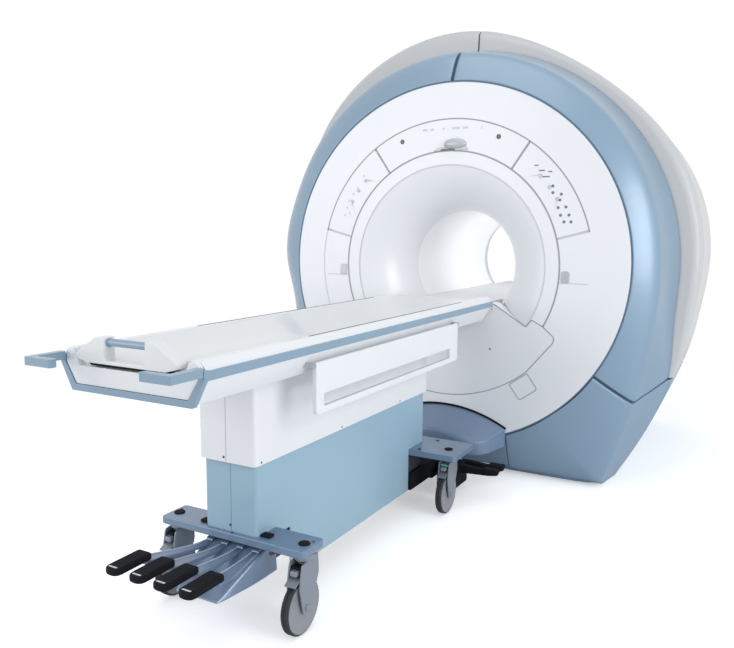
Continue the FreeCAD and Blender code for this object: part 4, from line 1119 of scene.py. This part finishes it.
def stripLine(a, b, width, y):
    a, b = Vector(a), Vector(b)
    side = (b - a).normalized()
    side = Vector((-side.y, side.x)) * width / 2
    return [(p.x, y, p.y) for p in (a - side, b - side, b + side, a + side)], [(0, 1, 2, 3)]


def outlineStrip(outline, width, y):
    ahead = outline[1:] + outline[:1]
    return joinParts([stripLine(a, b, width, y) for a, b in zip(outline, ahead)])


def buildSeams():
    f = front
    y = faceY - 0.0004
    half = f["consoleSpan"] / 2
    end = half + f["keysSpan"] + 1.4

    def strips(name, finishName, *parts):
        return addPiece(name, joinParts(parts), finishName, "magnet")
    strips("mouthSeam", "seamGrey", stripRing(f["mouth"], 0.0085, -118.5, 237, y, 160))
    dark, faint = [stripRing(f["panelOuter"], 0.0068, -end, 2 * end, y)], []
    for angle in (-half - 0.04, half + 0.04, -end, end):
        line = stripLine(polar(f["mouth"] + 0.003, angle), polar(f["panelOuter"], angle), 0.0055, y)
        (faint if abs(angle) > half + 1 else dark).append(line)
    # the side panels with the ports, and the arc that goes on below them
    low = math.degrees(math.acos((1.037 - f["bore"]) / 0.70))
    for sign in (-1, 1):
        faint.append(stripLine(polar(f["mouth"] + 0.004, sign * low),
                               polar(f["panelOuter"] - 0.02, sign * (low - 1)), 0.005, y))
    faint.append(stripRing(f["panelOuter"], 0.006, -118, 118 - end, y))
    faint.append(stripRing(f["seam"] + 0.0011, 0.0065, -123.5, 247, faceY - 0.0003, 160))
    strips("faintSeams", "seamPale", *faint)
    strips("panelSeams", "seamGrey", *dark)
    edges = strips("shieldSeams", "seamGrey", outlineStrip(shieldOutline(f["fit"] / 2), 0.0055, y),
                   outlineStrip(doorOutline(f["fit"] / 2), 0.005, y))

    def clearSlot(mesh):
        # nothing crosses the cradle's slot
        reach, bottom, top = f["clearSlot"]
        middles = {face: face.calc_center_median() for face in mesh.faces}
        inSlot = [face for face, p in middles.items() if abs(p.x) < reach and bottom < p.z < top]
        bmesh.ops.delete(mesh, geom=inSlot, context="FACES")
    reshape(edges.data, clearSlot)
    # painted shade: a dark blue strip inside the gap between the face and the ring, where the gap is in shade
    addPiece("faceGap", revolved([(faceY + 0.004, r) for r in f["gap"]], faceLine, 180), "gapBlue", "magnet")


# plain dots and dashes where the controls are labelled; no lettering
marks = {
    "right": [(0.555, 1.520), (0.592, 1.452), (0.598, 1.480), (0.556, 1.488), (0.585, 1.415), (0.623, 1.418),
              (0.598, 1.378), (0.639, 1.379), (0.616, 1.346), (0.650, 1.346)],
    "rightBars": [(0.470, 1.622, 0.020), (0.498, 1.596, 0.030), (0.540, 1.590, 0.020), (0.520, 1.566, 0.036)],
    "left": [(-0.470, 1.570), (-0.505, 1.596), (-0.545, 1.532), (-0.572, 1.500), (-0.598, 1.462),
             (-0.580, 1.440),
             (-0.612, 1.425), (-0.628, 1.382), (-0.596, 1.392)],
    "leftBars": [(-0.135, 1.824, 0.028), (-0.095, 1.825, 0.020), (-0.030, 1.826, 0.010),
                 (0.040, 1.826, 0.044),
                 (0.092, 1.825, 0.030), (0.180, 1.820, 0.008)],
    "sensors": (-0.269, 0.271), "sensorHeight": 1.771, "stud": (0.256, 0.687),
}


def buildMarks():
    y = faceY - 0.0006
    for name, key, dot, bar, finishName in (("printDark", "right", 0.0075, 0.006, "printGrey"),
                                            ("printPale", "left", 0.006, 0.011, "printPale")):
        parts = [([(x + dot * math.cos(a), y, z + dot * math.sin(a)) for a in circleTurns(14)],
                  [tuple(range(14))])
                 for x, z in marks[key]]
        parts += [stripLine((x - w / 2, z), (x + w / 2, z), bar, y) for x, z, w in marks[key + "Bars"]]
        addPiece(name, joinParts(parts), finishName, "magnet")
    x, z = marks["stud"]
    knobs = [studs([(side, faceY + 0.003, marks["sensorHeight"]) for side in marks["sensors"]],
                   (0, -0.006, 0),
                   0.0125, 24, 0.003), studs([(x, faceY + 0.002, z)], (0, -0.003, 0), 0.005, 16, 0.001)]
    addPiece("consoleSensors", joinParts(knobs), "glossBlack", "magnet", crisp=35)


hood = {
    "place": (0.036, 1.744), "reach": (0.062, 0.030), "proud": 0.026, "rings": 9, "around": 40,
    "base": [(-0.085, 1.7135), (0.110, 1.7135), (0.096, 1.7330), (-0.060, 1.7300)],
    "slot": [(-0.046, 1.7140), (0.040, 1.7140), (0.030, 1.7225), (-0.036, 1.7225)],
    "ports": ((-0.654, -0.612), (0.612, 0.654)), "portHeight": (1.046, 1.106),
}


def buildLights():
    # hood of the alignment light, its dark slot, and the two side ports
    (middleX, middleZ), (wide, tall) = hood["place"], hood["reach"]
    rows = []
    for k in range(hood["rings"]):
        t = math.radians(90 * k / (hood["rings"] - 1))
        scale, out = max(0.02, math.cos(t) ** 0.8), hood["proud"] * math.sin(t) ** 0.9
        row = []
        for a in circleTurns(hood["around"]):
            x = wide * math.copysign(abs(math.cos(a)) ** 0.85, math.cos(a))
            z = tall * math.sin(a)
            row.append((middleX + x * scale, faceY - out,
                        middleZ + z * scale * (1.0 if z > 0 else 0.85 * 0.9)))
        rows.append(row)
    addPiece("lightHood", loopShape(rows), "domeGrey", "magnet", "light_windows", crisp=60)
    addPiece("lightBase", slabShape(hood["base"], faceY - 0.004, faceY + 0.001, 0.0015, "y"), "domeGrey",
             "magnet", ease=(0,))
    addPiece("lightSlot", slabShape(hood["slot"], faceY - 0.006, faceY - 0.002, 0.0006, "y"), "glossBlack",
             "magnet", ease=(0,))
    z0, z1 = hood["portHeight"]
    ports = [slabShape([(x0, z0), (x1, z0), (x1, z1), (x0, z1)], faceY - 0.0038, faceY + 0.001, 0.0028, "y",
                       3, 0.014)
             for x0, x1 in hood["ports"]]
    addPiece("sidePorts", joinParts(ports), "domeGrey", "magnet", ease=(0,))


# half width, top and edge of the arch at the back and the front
nose = {
    "back": (-0.85, 0.352, 0.360, 0.272), "front": (-1.08, 0.300, 0.287, 0.236), "low": 0.172, "roll": 0.016,
    "corner": 0.022, "foot": 0.010, "turn": 0.085, "rows": 34, "gasket": (0.357, 0.366,
                                                                          0.272), "gasketRadius": 0.0055,
}


def noseRing(y, half, top, edge):
    rise = top - edge
    radius = (half * half + rise * rise) / (2 * rise)
    turn = math.asin(min(1.0, half / radius))
    turns = [turn * (1 - 2 * i / 40) for i in range(1, 40)]
    arch = [(radius * math.sin(a), top - radius + radius * math.cos(a), 0) for a in turns]
    foot, edgeCorner = (half, nose["low"], nose["foot"]), (half, edge, nose["corner"])
    corners = [foot, edgeCorner] + arch + [(-half, *edgeCorner[1:]), (-half, *foot[1:])]
    return [(x, y, z) for x, z in roundCorners(corners, 0, 6)]


def buildNose():
    # arched nose that the table docks against, with a rolled front edge and rounded front corners
    b, f, roll, turn = nose["back"], nose["front"], nose["roll"], nose["turn"]
    rows = []
    for i in range(nose["rows"]):
        s = math.sin(math.radians(90 * i / (nose["rows"] - 1)))
        y, half, top, edge = [p + (q - p) * s for p, q in zip(b, f)]
        over = max(0.0, turn - (y - f[0])) / turn
        half -= turn * (1 - math.sqrt(max(0.0, 1 - over ** 2)))
        drop = roll * (1 - math.sqrt(max(0.0, 1 - (max(0.0, roll - (y - f[0])) / roll) ** 2)))
        rows.append([(x, y, max(nose["low"] + drop * 0.4, z - drop)) for x, _,
                     z in noseRing(y, half, top, edge)])
    addPiece("dockNose", loopShape(rows), "noseBlue", "magnet", "dock_cover", crisp=40)
    line = [(x, b[0] - 0.0025, z) for x, _, z in noseRing(b[0], *nose["gasket"])[10:-10]]
    addPiece("noseGasket", tubeShape(line, nose["gasketRadius"], 8), "blackRubber", "magnet")


plinth = {
    "path": [(0.30, -0.690), (0.42, -0.692), (0.56, -0.694), (0.69, -0.694), (0.755, -0.684), (0.795, -0.655),
             (0.816, -0.60), (0.825, -0.50), (0.830, -0.234), (0.832, 0.10), (0.825, 0.45), (0.80, 0.76)],
    "rows": ((0.0, 0.001), (0.0, 0.052), (0.012, 0.060)),
}


def buildPlinth():
    # low wall under the skirts' toes, set back from them, in the ring blue painted lighter as if lit
    parts = []
    for sign in (-1, 1):
        verts = [(sign * (x - inset * 0.4), y + inset, z) for inset, z in plinth["rows"] for x,
                 y in plinth["path"]]
        parts.append((verts, gridFaces(3, len(plinth["path"]), flip=sign < 0)))
    addPiece("skirtPlinth", joinParts(parts), "skirtPlinth", "magnet")


buildFace()
buildBells()
buildSeams()
buildMarks()
buildLights()
buildNose()
buildPlinth()
print("front of the magnet built")

# patient table: cradle, slots, boards and column covers
table = {
    "cradleFoot": -3.042, "cradleHead": -0.900, "plateFront": -3.082, "plateInset": 0.002,
    "dish": 0.966, "dishHalf": 0.205, "dishRim": 0.958, "gripHeight": 0.988, "gripRadius": 0.011,
    "gripHalf": 0.0775,
    "trayEdge": [(0.196, 0.9263, 0.003), (0.211, 0.950, 0.004), (0.211, 0.958, 0.0025),
                 (0.205, 0.958, 0.0025)],
    "plate": [(0.150, 0.9268, 0.006), (0.193, 0.9385, 0.010), (0.193, 0.951, 0.014), (0.112, 1.003, 0.024),
              (0.078, 1.003, 0.005), (0.078, 0.938, 0.012)],
    # gasket: outline of the black piece that paints the shade in the foot end's gap
    "gasket": [(-0.165, 0.9255), (-0.150, 0.9165), (0.150, 0.9165), (0.165, 0.9255)], "footShadeSpan": (-3.0655,
                                                                                                     -3.0505),
    "liner": ((0.2332, -2.5225, 0.955), (0.2408, -1.2215, 0.9627)), "flankScrew": (0.2715, -0.885, 0.900),
    "hook": {"x": 0.10, "y": -0.925, "z": 0.836, "half": 0.045, "drop": 0.030, "radius": 0.006},
}
board = {"x": 0.268, "half": 0.008, "span": (-2.541, -1.348), "height": (0.708, 0.872),
         "slotSpan": (-2.495, -1.432),
         "slotHeight": (0.730, 0.772)}
column = {
    "upper": (0.118, -2.661, -1.329, 0.016), "upperHeight": (0.539, 0.836),
    "lower": (0.109, -2.645, -1.345, 0.014), "lowerHeight": (0.100, 0.5355), "wall": 0.004,
    "cuts": [((-0.13, -2.70, 0.05), (0.13, -2.5345, 0.2955)), ((-0.13, -2.70, 0.05), (0.13, -2.455, 0.2675)),
             ((-0.13, -1.5055, 0.05), (0.13, -1.30, 0.2955))],
    "upperSeam": ((-0.0032, -2.6614, 0.543), (-0.0012, -2.6604, 0.834)),
    "lowerSeam": ((0.0015, -2.6454, 0.300), (0.0035, -2.6444, 0.534)),
    "screwRows": (-2.628, -2.119, -1.62), "brackets": (-0.148, 0.110), "bracketSpan": (-2.630, -2.600),
}


def buildCradle():
    t = table
    dish, rim = t["dish"], t["dishRim"]
    half = math.asin(t["dishHalf"] / dish)
    turns = [half * (1 - 2 * i / 40) for i in range(1, 40)]
    arc = [(dish * math.sin(a), rim + dish * math.cos(half) - dish * math.cos(a), 0) for a in turns]
    edge = t["trayEdge"]
    section = roundCorners(edge + arc + [(-x, z, r) for x, z, r in reversed(edge)], 0)
    tray = slabShape(section, t["cradleFoot"], t["cradleHead"], 0, "y")
    plate = slabShape(roundCorners(mirrored(t["plate"]), 0, 5), t["plateFront"],
                      t["cradleFoot"] + t["plateInset"],
                      0.005, "y", 3)
    addPiece("cradleTray", joinParts([tray, plate]), "trayWhite", "cradle", "cradle_tray", ease=(0,))
    y, z, radius = (t["plateFront"] + t["cradleFoot"]) / 2, t["gripHeight"], t["gripRadius"]
    grip = [tubeShape([(x / 20 * t["gripHalf"], y, z) for x in range(-20, 21)], radius, 28)]
    grip += [rodShape((sign * 0.0705, y, z), (sign * 0.0778, y, z), radius + 0.0022, 28, 0.002)
             for sign in (-1, 1)]
    addPiece("cradleGrip", joinParts(grip), "railBlue", "cradle", "cradle_grip", crisp=50)
    # painted shade: a black piece in the gap between the end plate and the trough, where the chassis end lies in shade
    addPiece("footGapShade", slabShape(roundCorners(t["gasket"], 0.004), *t["footShadeSpan"], 0.001, "y"),
             "blackRubber", "table_lift", ease=(0,))


def buildTop():
    (x0, y0, z0), (x1, y1, z1) = table["liner"]
    liners = [roundBox((-x1, y0, z0), (-x0, y1, z1), 0.0006, 1),
              roundBox((x0, y0, z0), (x1, y1, z1), 0.0006, 1)]
    addPiece("slotLiners", joinParts(liners), "slotDark", "table_lift")
    # screw on the table's flank and the hooks under its head
    addPiece("flankScrews", studs([table["flankScrew"]], (0.003, 0, 0), 0.004, 12, 0.001), "darkSteel",
             "table_lift", crisp=35)
    h = table["hook"]
    hooks = [tubeShape([(x, h["y"] + h["half"] * math.cos(a), h["z"] - h["drop"] * math.sin(a))
                        for a in [math.pi * i / 12 for i in range(13)]], h["radius"], 10) for x in (h["x"],
                                                                                                    -h["x"])]
    addPiece("headHooks", joinParts(hooks), "darkSteel", "table_lift")


def buildBoards():
    # boards with a long slot and a rolled barrel along the top
    (y0, y1), (z0, z1), (s0, s1), (t0, t1) = (board[k] for k in ("span", "height", "slotSpan", "slotHeight"))
    outer, inner = rectangle((y0, z0), (y1, z1), 0.014), rectangle((s0, t0), (s1, t1), 0.012)
    for side, sign in (("left", -1), ("right", 1)):
        x, half = sign * board["x"], board["half"]
        addPiece("armBoard_" + side, frameShape(outer, inner, x - half, x + half, "x"), "tableWhite",
                 "board_" + side, "side_board_" + side, ease=(0.003, 3, 50))
        addPiece("boardBarrel_" + side, rodShape((x, y0, z1), (x, y1, z1), half, 20, 0.0015), "tableWhite",
                 "board_" + side, crisp=35)


def sleeve(half, foot, head, corner, height):
    wall = column["wall"]
    outer = rectangle((-half, foot), (half, head), corner)
    inner = rectangle((-half + wall, foot + wall), (half - wall, head - wall), corner - wall)
    return frameShape(outer, inner, *height, "z")


def buildColumn():
    c = column
    addPiece("upperCover", sleeve(*c["upper"], c["upperHeight"]), "coverWhite", "table_lift",
             "upper_cover", ease=(0.0018, 2, 50))
    flank = addPiece("lowerCover", sleeve(*c["lower"], c["lowerHeight"]), "flankBlue", "table_dock",
                     "lower_cover")
    reshape(flank.data, faceOut)
    cutAway(flank, *[roundBox(low, high, 0.0005, 1) for low, high in c["cuts"]])
    easeEdges(flank, 0)
    addPiece("upperSeam", roundBox(*c["upperSeam"], 0.0002, 1), "seamGrey", "table_lift",
             slot="cover_grey")
    addPiece("lowerSeam", roundBox(*c["lowerSeam"], 0.0002, 1), "seamBlue", "table_dock")
    upper = [studs([(-0.012, -2.6625, 0.556)], (0, 0.0025, 0), 0.0045, 14, 0.001)]
    for y in c["screwRows"]:
        upper += [studs([(sign * 0.1175, y, 0.549)], (sign * 0.0017, 0, 0), 0.004, 14, 0.0008)
                  for sign in (-1, 1)]
    addPiece("upperScrews", joinParts(upper), "darkSteel", "table_lift", crisp=35)
    lower = [studs([(-0.002, -2.6462, 0.318)], (0, 0.0022, 0), 0.005, 14, 0.001),
             studs([(0.010, -2.652, 0.2945)], (0, 0, 0.0020), 0.005, 14, 0.0006)]
    addPiece("lowerScrews", joinParts(lower), "darkSteel", "table_dock", crisp=35)
    y0, y1 = c["bracketSpan"]
    brackets = [roundBox((x, y0, 0.2945), (x + 0.038, y1, 0.3030), 0.003) for x in c["brackets"]]
    addPiece("columnBrackets", joinParts(brackets), "blackRubber", "table_dock", ease=(0,))


casters = {"front_left": (-0.268, -2.603), "front_right": (0.268, -2.603), "rear_left": (-0.268, -1.407),
           "rear_right": (0.268, -1.407)}
wheel = {
    "radius": 0.094, "trail": 0.025, "legGap": 0.021, "legThick": 0.006, "top": 0.2675, "hoodGap": 0.010,
    "hoodTurns": (-34, 78), "hoodThick": 0.035,
    # half sections (place across, radius): a tyre with a shallow groove, and the disc inside it
    "tyre": [(-0.0148, 0.082), (-0.0150, 0.087), (-0.0138, 0.0905), (-0.0105, 0.0934), (-0.006, 0.094),
             (-0.0022, 0.0936), (-0.0010, 0.0914)],
    "disc": [(-0.0140, 0.0868), (-0.0155, 0.0862), (-0.0158, 0.0835), (-0.0140, 0.0805), (-0.0125, 0.055),
             (-0.0118, 0.030), (-0.0145, 0.024), (-0.0150, 0.0195), (-0.0150, 0.0072)],
    "lug": ((-0.013, -0.066, 0.208), (0.013, -0.030, 0.226)), "tab": ((-0.017, -0.052, 0.228),
                                                                      (0.017, -0.020, 0.236)),
}


def forkShape(x, y, yAxle):
    # hooded fork: two teardrop plates joined over the wheel, with the stem, the axle and its nuts
    w = wheel
    R, top, gap = w["radius"], w["top"], w["legGap"]
    outline = roundCorners([(y + 0.042, top - 0.008, 0.008), (y + 0.046, 0.190, 0.03),
                            (yAxle + 0.020, R - 0.020, 0.02),
                            (yAxle - 0.020, R - 0.020, 0.02), (yAxle - 0.040, 0.170, 0.03),
                            (y - 0.050, top - 0.022, 0.012)], 0, 6)
    parts = []
    for sign in (-1, 1):
        parts.append(slabShape(outline, *sorted((x + sign * gap, x + sign * (gap + w["legThick"]))), 0.0016,
                               "x", 2))
    first, span = w["hoodTurns"]
    turns = [math.radians(first + span * i / 12) for i in range(13)]
    inner, reach = [(math.sin(a), math.cos(a)) for a in turns], R + w["hoodGap"]
    arch = [(yAxle + s * p, R + s * q) for s,
            line in ((reach, inner), (reach * (1 + w["hoodThick"]), inner[::-1]))
            for p, q in line]
    parts.append(slabShape(arch, x - gap, x + gap, 0.0006, "x", 1))
    parts.append(rodShape((x, y, top - 0.022), (x, y, top), 0.034, 40, 0.003))
    parts.append(rodShape((x, y, 0.205), (x, y, top - 0.02), 0.0235, 32, 0.002))
    parts.append(rodShape((x - 0.031, yAxle, R), (x + 0.031, yAxle, R), 0.0066, 20, 0.001))
    parts += [studs([(x + sign * 0.0268, yAxle, R)], (sign * 0.0037, 0, 0), 0.0115, 6, 0.001)
              for sign in (-1, 1)]
    return joinParts(parts)


def buildCasters():
    w = wheel
    for name, (x, y) in casters.items():
        yAxle, roller, swivel = y - w["trail"], "roller_" + name, "swivel_" + name

        def spun(half, steps=64):
            rows = [[(x + across, yAxle + r * math.sin(a), w["radius"] + r * math.cos(a))
                     for a in circleTurns(steps)]
                    for across, r in half + [(-across, r) for across, r in reversed(half)]]
            return [p for row in rows for p in row], gridFaces(len(rows), steps, closed=True)

        def offset(low, high):
            return (x + low[0], y + low[1], low[2]), (x + high[0], y + high[1], high[2])
        addPiece("tyre_" + name, spun(w["tyre"]), "tyreDark", roller, "caster_wheel_" + name, crisp=50)
        addPiece("wheelDisc_" + name, spun(w["disc"]), "wheelGrey", roller, crisp=40)
        addPiece("casterFork_" + name, forkShape(x, y, yAxle), "forkGrey", swivel,
                 "caster_fork_" + name, ease=(0,))
        # brake lever towards the foot end
        addPiece("brakeLug_" + name, roundBox(*offset(*w["lug"]), 0.004), "forkGrey", swivel, ease=(0,))
        addPiece("brakeTab_" + name, roundBox(*offset(*w["tab"]), 0.003),
                 "tabGreen" if name == "rear_right" else "blackRubber", swivel, ease=(0,))


# place across of each pedal at its hub and at its pad
pedals = {"far_left": (-0.098, -0.147), "near_left": (-0.033, -0.048), "near_right": (0.033, 0.048),
          "far_right": (0.098, 0.147)}
pedal = {
    "pivot": -2.631, "height": 0.238, "tip": -3.034, "heel": -2.885, "padHalf": 0.0295, "padTop": 0.290,
    "padThick": 0.024, "neckHalf": 0.012, "bladeHalf": 0.026, "armThick": 0.012, "hub": 0.014,
    "hubBore": 0.0062,
    "hubHalf": 0.013, "ribs": 7, "ribStep": 0.013,
}


def bladeShape(rows, thick):
    # plate that follows rows of (left x, right x, y, z), thick downwards
    return loopShape([[(low, y, z), (high, y, z), (high, y, z - thick), (low, y, z - thick)]
                      for low, high, y, z in rows], start=True)


def armRows(root, place):
    p = pedal
    rows = []
    for t in [i / 12 for i in range(13)]:
        ease = t * t * (3 - 2 * t)
        middle = root + (place - root) * ease
        half = p["neckHalf"] + (p["bladeHalf"] - p["neckHalf"]) * ease
        y = p["pivot"] + 0.004 + (p["heel"] - 0.030 - p["pivot"]) * t
        rise = (max(0.0, t - 0.25) / 0.75) ** 1.3
        z = p["height"] + 0.006 + (p["padTop"] - p["padThick"] - p["height"] - 0.004) * rise
        rows.append((middle - half, middle + half, y, z))
    return rows


def buildPedals():
    p = pedal
    y0, tip, heel, top = p["pivot"], p["tip"], p["heel"], p["padTop"]
    for name, (root, place) in pedals.items():
        def part(kind, shape, finishName, node=None, **shading):
            addPiece(kind + "_" + name, shape, finishName, "pedal_" + name + "_body", node, **shading)
        rows = armRows(root, place)
        part("pedalArm", bladeShape(rows, p["armThick"]), "armBlue", ease=(0.003, 2, 50))
        rings = [[(y0 + r * math.cos(a), p["height"] + r * math.sin(a)) for a in circleTurns(24)]
                 for r in (p["hub"], p["hubBore"])]
        part("pedalHub", frameShape(*rings, root - p["hubHalf"], root + p["hubHalf"], "x"), "armBlue",
             crisp=35)
        # painted highlight: a pale strip along the top of each arm's left edge, where light catches it
        highlightRows = [(low + 0.003, low + 0.007, y, z + 0.003) for low, _, y, z in rows[1:]]
        part("pedalRidge", bladeShape(highlightRows, 0.004), "paintedEdgeHighlight", ease=(0.001, 1, 50))
        left, right = place - p["padHalf"], place + p["padHalf"]
        outline = roundCorners([(left, tip, 0.028), (right, tip, 0.028), (right, heel, 0.012),
                                (left, heel, 0.012)],
                               0, 7)
        part("pedalPad", slabShape(outline, top - p["padThick"], top, 0.007, "z", 3), "blackRubber",
             "pedal_" + name, ease=(0,))
        part("pedalMark", roundBox((place - 0.017, tip + 0.011, top - 0.003),
                                   (place + 0.017, tip + 0.019,
                                    top + 0.0006), 0.002, 2), "markPale", ease=(0,))
        ribs = [roundBox((place - 0.024, heel - 0.030 - p["ribStep"] * i, top - 0.002),
                         (place + 0.024, heel - 0.025 - p["ribStep"] * i, top + 0.0009), 0.001, 1)
                for i in range(p["ribs"])]
        part("pedalRibs", joinParts(ribs), "blackRubber", ease=(0,))


base = {
    "front": (0.302, -2.660, -2.535), "rear": (0.338, -1.505,
                                               -1.262), "low": 0.268, "high": 0.295, "corner": 0.014,
    "capRadius": 0.0195, "slope": 0.008,
    # sections of the pedals' guard: place, half width, underside and top
    "guard": [(-2.560, 0.128, 0.150, 0.262), (-2.640, 0.128, 0.150, 0.240), (-2.700, 0.120, 0.146, 0.214),
              (-2.760, 0.108, 0.142, 0.182), (-2.800, 0.098, 0.140, 0.158), (-2.822, 0.088, 0.140, 0.146)],
    "frontBolts": [(-0.285, -2.574, 0.2945), (0.285, -2.574, 0.2945)],
    "rearBolts": [(0.150, -1.475, 0.2945), (0.165, -1.300, 0.2945), (-0.150, -1.475, 0.2945),
                  (-0.165, -1.300, 0.2945)],
}


def buildBase():
    g = base
    for end in ("front", "rear"):
        reach, y0, y1 = g[end]
        outline = roundCorners([(-reach, y0), (reach, y0), (reach, y1), (-reach, y1)], g["corner"], 6)
        addPiece(end + "Crossmember", slabShape(outline, g["low"], g["high"], 0.0035, "z", 3), "plateBlue",
                 "table_dock", end + "_crossmember", ease=(0,))
    caps = studs([(x, y, g["high"] - 0.002) for x, y in casters.values()], (0, 0, 0.0065), g["capRadius"], 32,
                 0.002)
    addPiece("stemCaps", caps, "blackRubber", "table_dock", "stem_caps", crisp=35)
    rows = []
    for y, half, low, high in g["guard"]:
        top = half - g["slope"]
        section = roundCorners([(-half, low), (half, low), (top, high), (-top, high)], 0.012)
        rows.append([(x, y, z) for x, z in section])
    addPiece("pedalGuard", loopShape(rows, start=True), "guardBlue", "table_dock", "pedal_housing",
             ease=(0.003, 2, 50))
    bolts = [studs([(0.176, -2.662, 0.262)], (0, 0.022, 0), 0.008, 16, 0.002),
             studs(g["frontBolts"], (0, 0, 0.0025), 0.005, 14, 0.001),
             studs(g["rearBolts"], (0, 0, 0.0045), 0.009, 16, 0.002)]
    addPiece("frameBolts", joinParts(bolts), "glossBlack", "table_dock", slot="black_plastic", crisp=35)


# side view of an arm from its pivot, with the corners at the tip counted from there
rocker = {
    "places": {"dock": -1.190, "release": -1.110}, "pivot": (0.230, 0.140), "tip": 0.436, "half": 0.024,
    "armShare": 0.62, "mount": ((0.150, -1.276, 0.040), (0.238, -1.080, 0.150)),
}


def buildRockers():
    k = rocker
    (x, z), tip = k["pivot"], k["tip"]
    side = roundCorners([(x - 0.018, z - 0.018), (x + 0.030, z - 0.020), (tip - 0.050, z - 0.014),
                         (tip, z - 0.006),
                         (tip, z + 0.014), (tip - 0.070, z + 0.012), (x + 0.020, z + 0.020), (x - 0.018,
                                                                                              z + 0.016)],
                        0.006)
    for name, y in k["places"].items():
        body, half = "rocker_" + name + "_body", k["half"] * k["armShare"]
        addPiece("rockerArm_" + name, slabShape(side, y - half, y + half, 0.004, "y", 2), "blackRubber", body,
                 "rocker_" + name, "dock_black", ease=(0,))
        pad = roundBox((tip - 0.075, y - k["half"], z + 0.002), (tip + 0.004, y + k["half"], z + 0.022),
                       0.008, 3)
        addPiece("rockerPad_" + name, pad, "blackRubber", body, slot="dock_black", ease=(0,))
    addPiece("rockerMount", roundBox(*k["mount"], 0.012, 3), "blackRubber", "table_dock", slot="dock_black",
             ease=(0,))


buildCradle()
buildTop()
buildBoards()
buildColumn()
print("table top and column built")
buildCasters()
print("casters built")
buildPedals()
print("pedals built")
buildBase()
buildRockers()
print("base frame and dock rockers built")

# CAD nodes: finish, width of the eased edges, names; those that a piece replaces don't show
nodeLooks = [
    ("innerMetal", 0, "magnet_vessel"), ("trayGrey", 0, "gradient_coil"), ("boreLit", 0, "bore_tube"),
    ("boreWhite", 0.002, "bore_bridge"), ("whiteCover", 0.002,
                                          "console_panel key_panel_left key_panel_right"),
    ("keyGrey", 0.0012, "key_left_1 key_left_2 key_left_3 key_right_1 key_right_2 key_right_3"),
    ("ringBlueDeep", 0.004, "skirt_centre"), ("shellWhite", 0.008, "rear_cover"), ("darkSteel", 0.001,
                                                                                   "magnet_feet"),
    ("tableWhite", 0.004, "table_chassis"), ("railBlue", 0.002, "side_rails"), ("railBlue", 0.003,
                                                                                "push_handles"),
    ("hingeSteel", 0.001, "board_hinges mast_inner"), ("darkSteel", 0.002, "base_frame"),
    ("blackRubber", 0.003, "dock_frame"),
]


def dressNodes():
    looks = {name: (finishName, width) for finishName, width, names in nodeLooks for name in names.split()}
    for name, piece in cadNodes.items():
        finishName, width = looks.get(name, ("whiteCover", 0))
        mat = finish(finishName)
        for held in piece.material_slots:
            held.material = mat
        if not piece.material_slots:
            piece.data.materials.append(mat)
        if not piece.hide_render:
            easeEdges(piece, width)
    print("CAD nodes dressed:", len(looks), "of", len(cadNodes), "show")


dressNodes()
sizes = {"cad": [list(corner) for corner in cadBox], "visual": [list(corner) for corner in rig.bounds()]}
with open("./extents.json", "w") as out:
    json.dump(sizes, out)
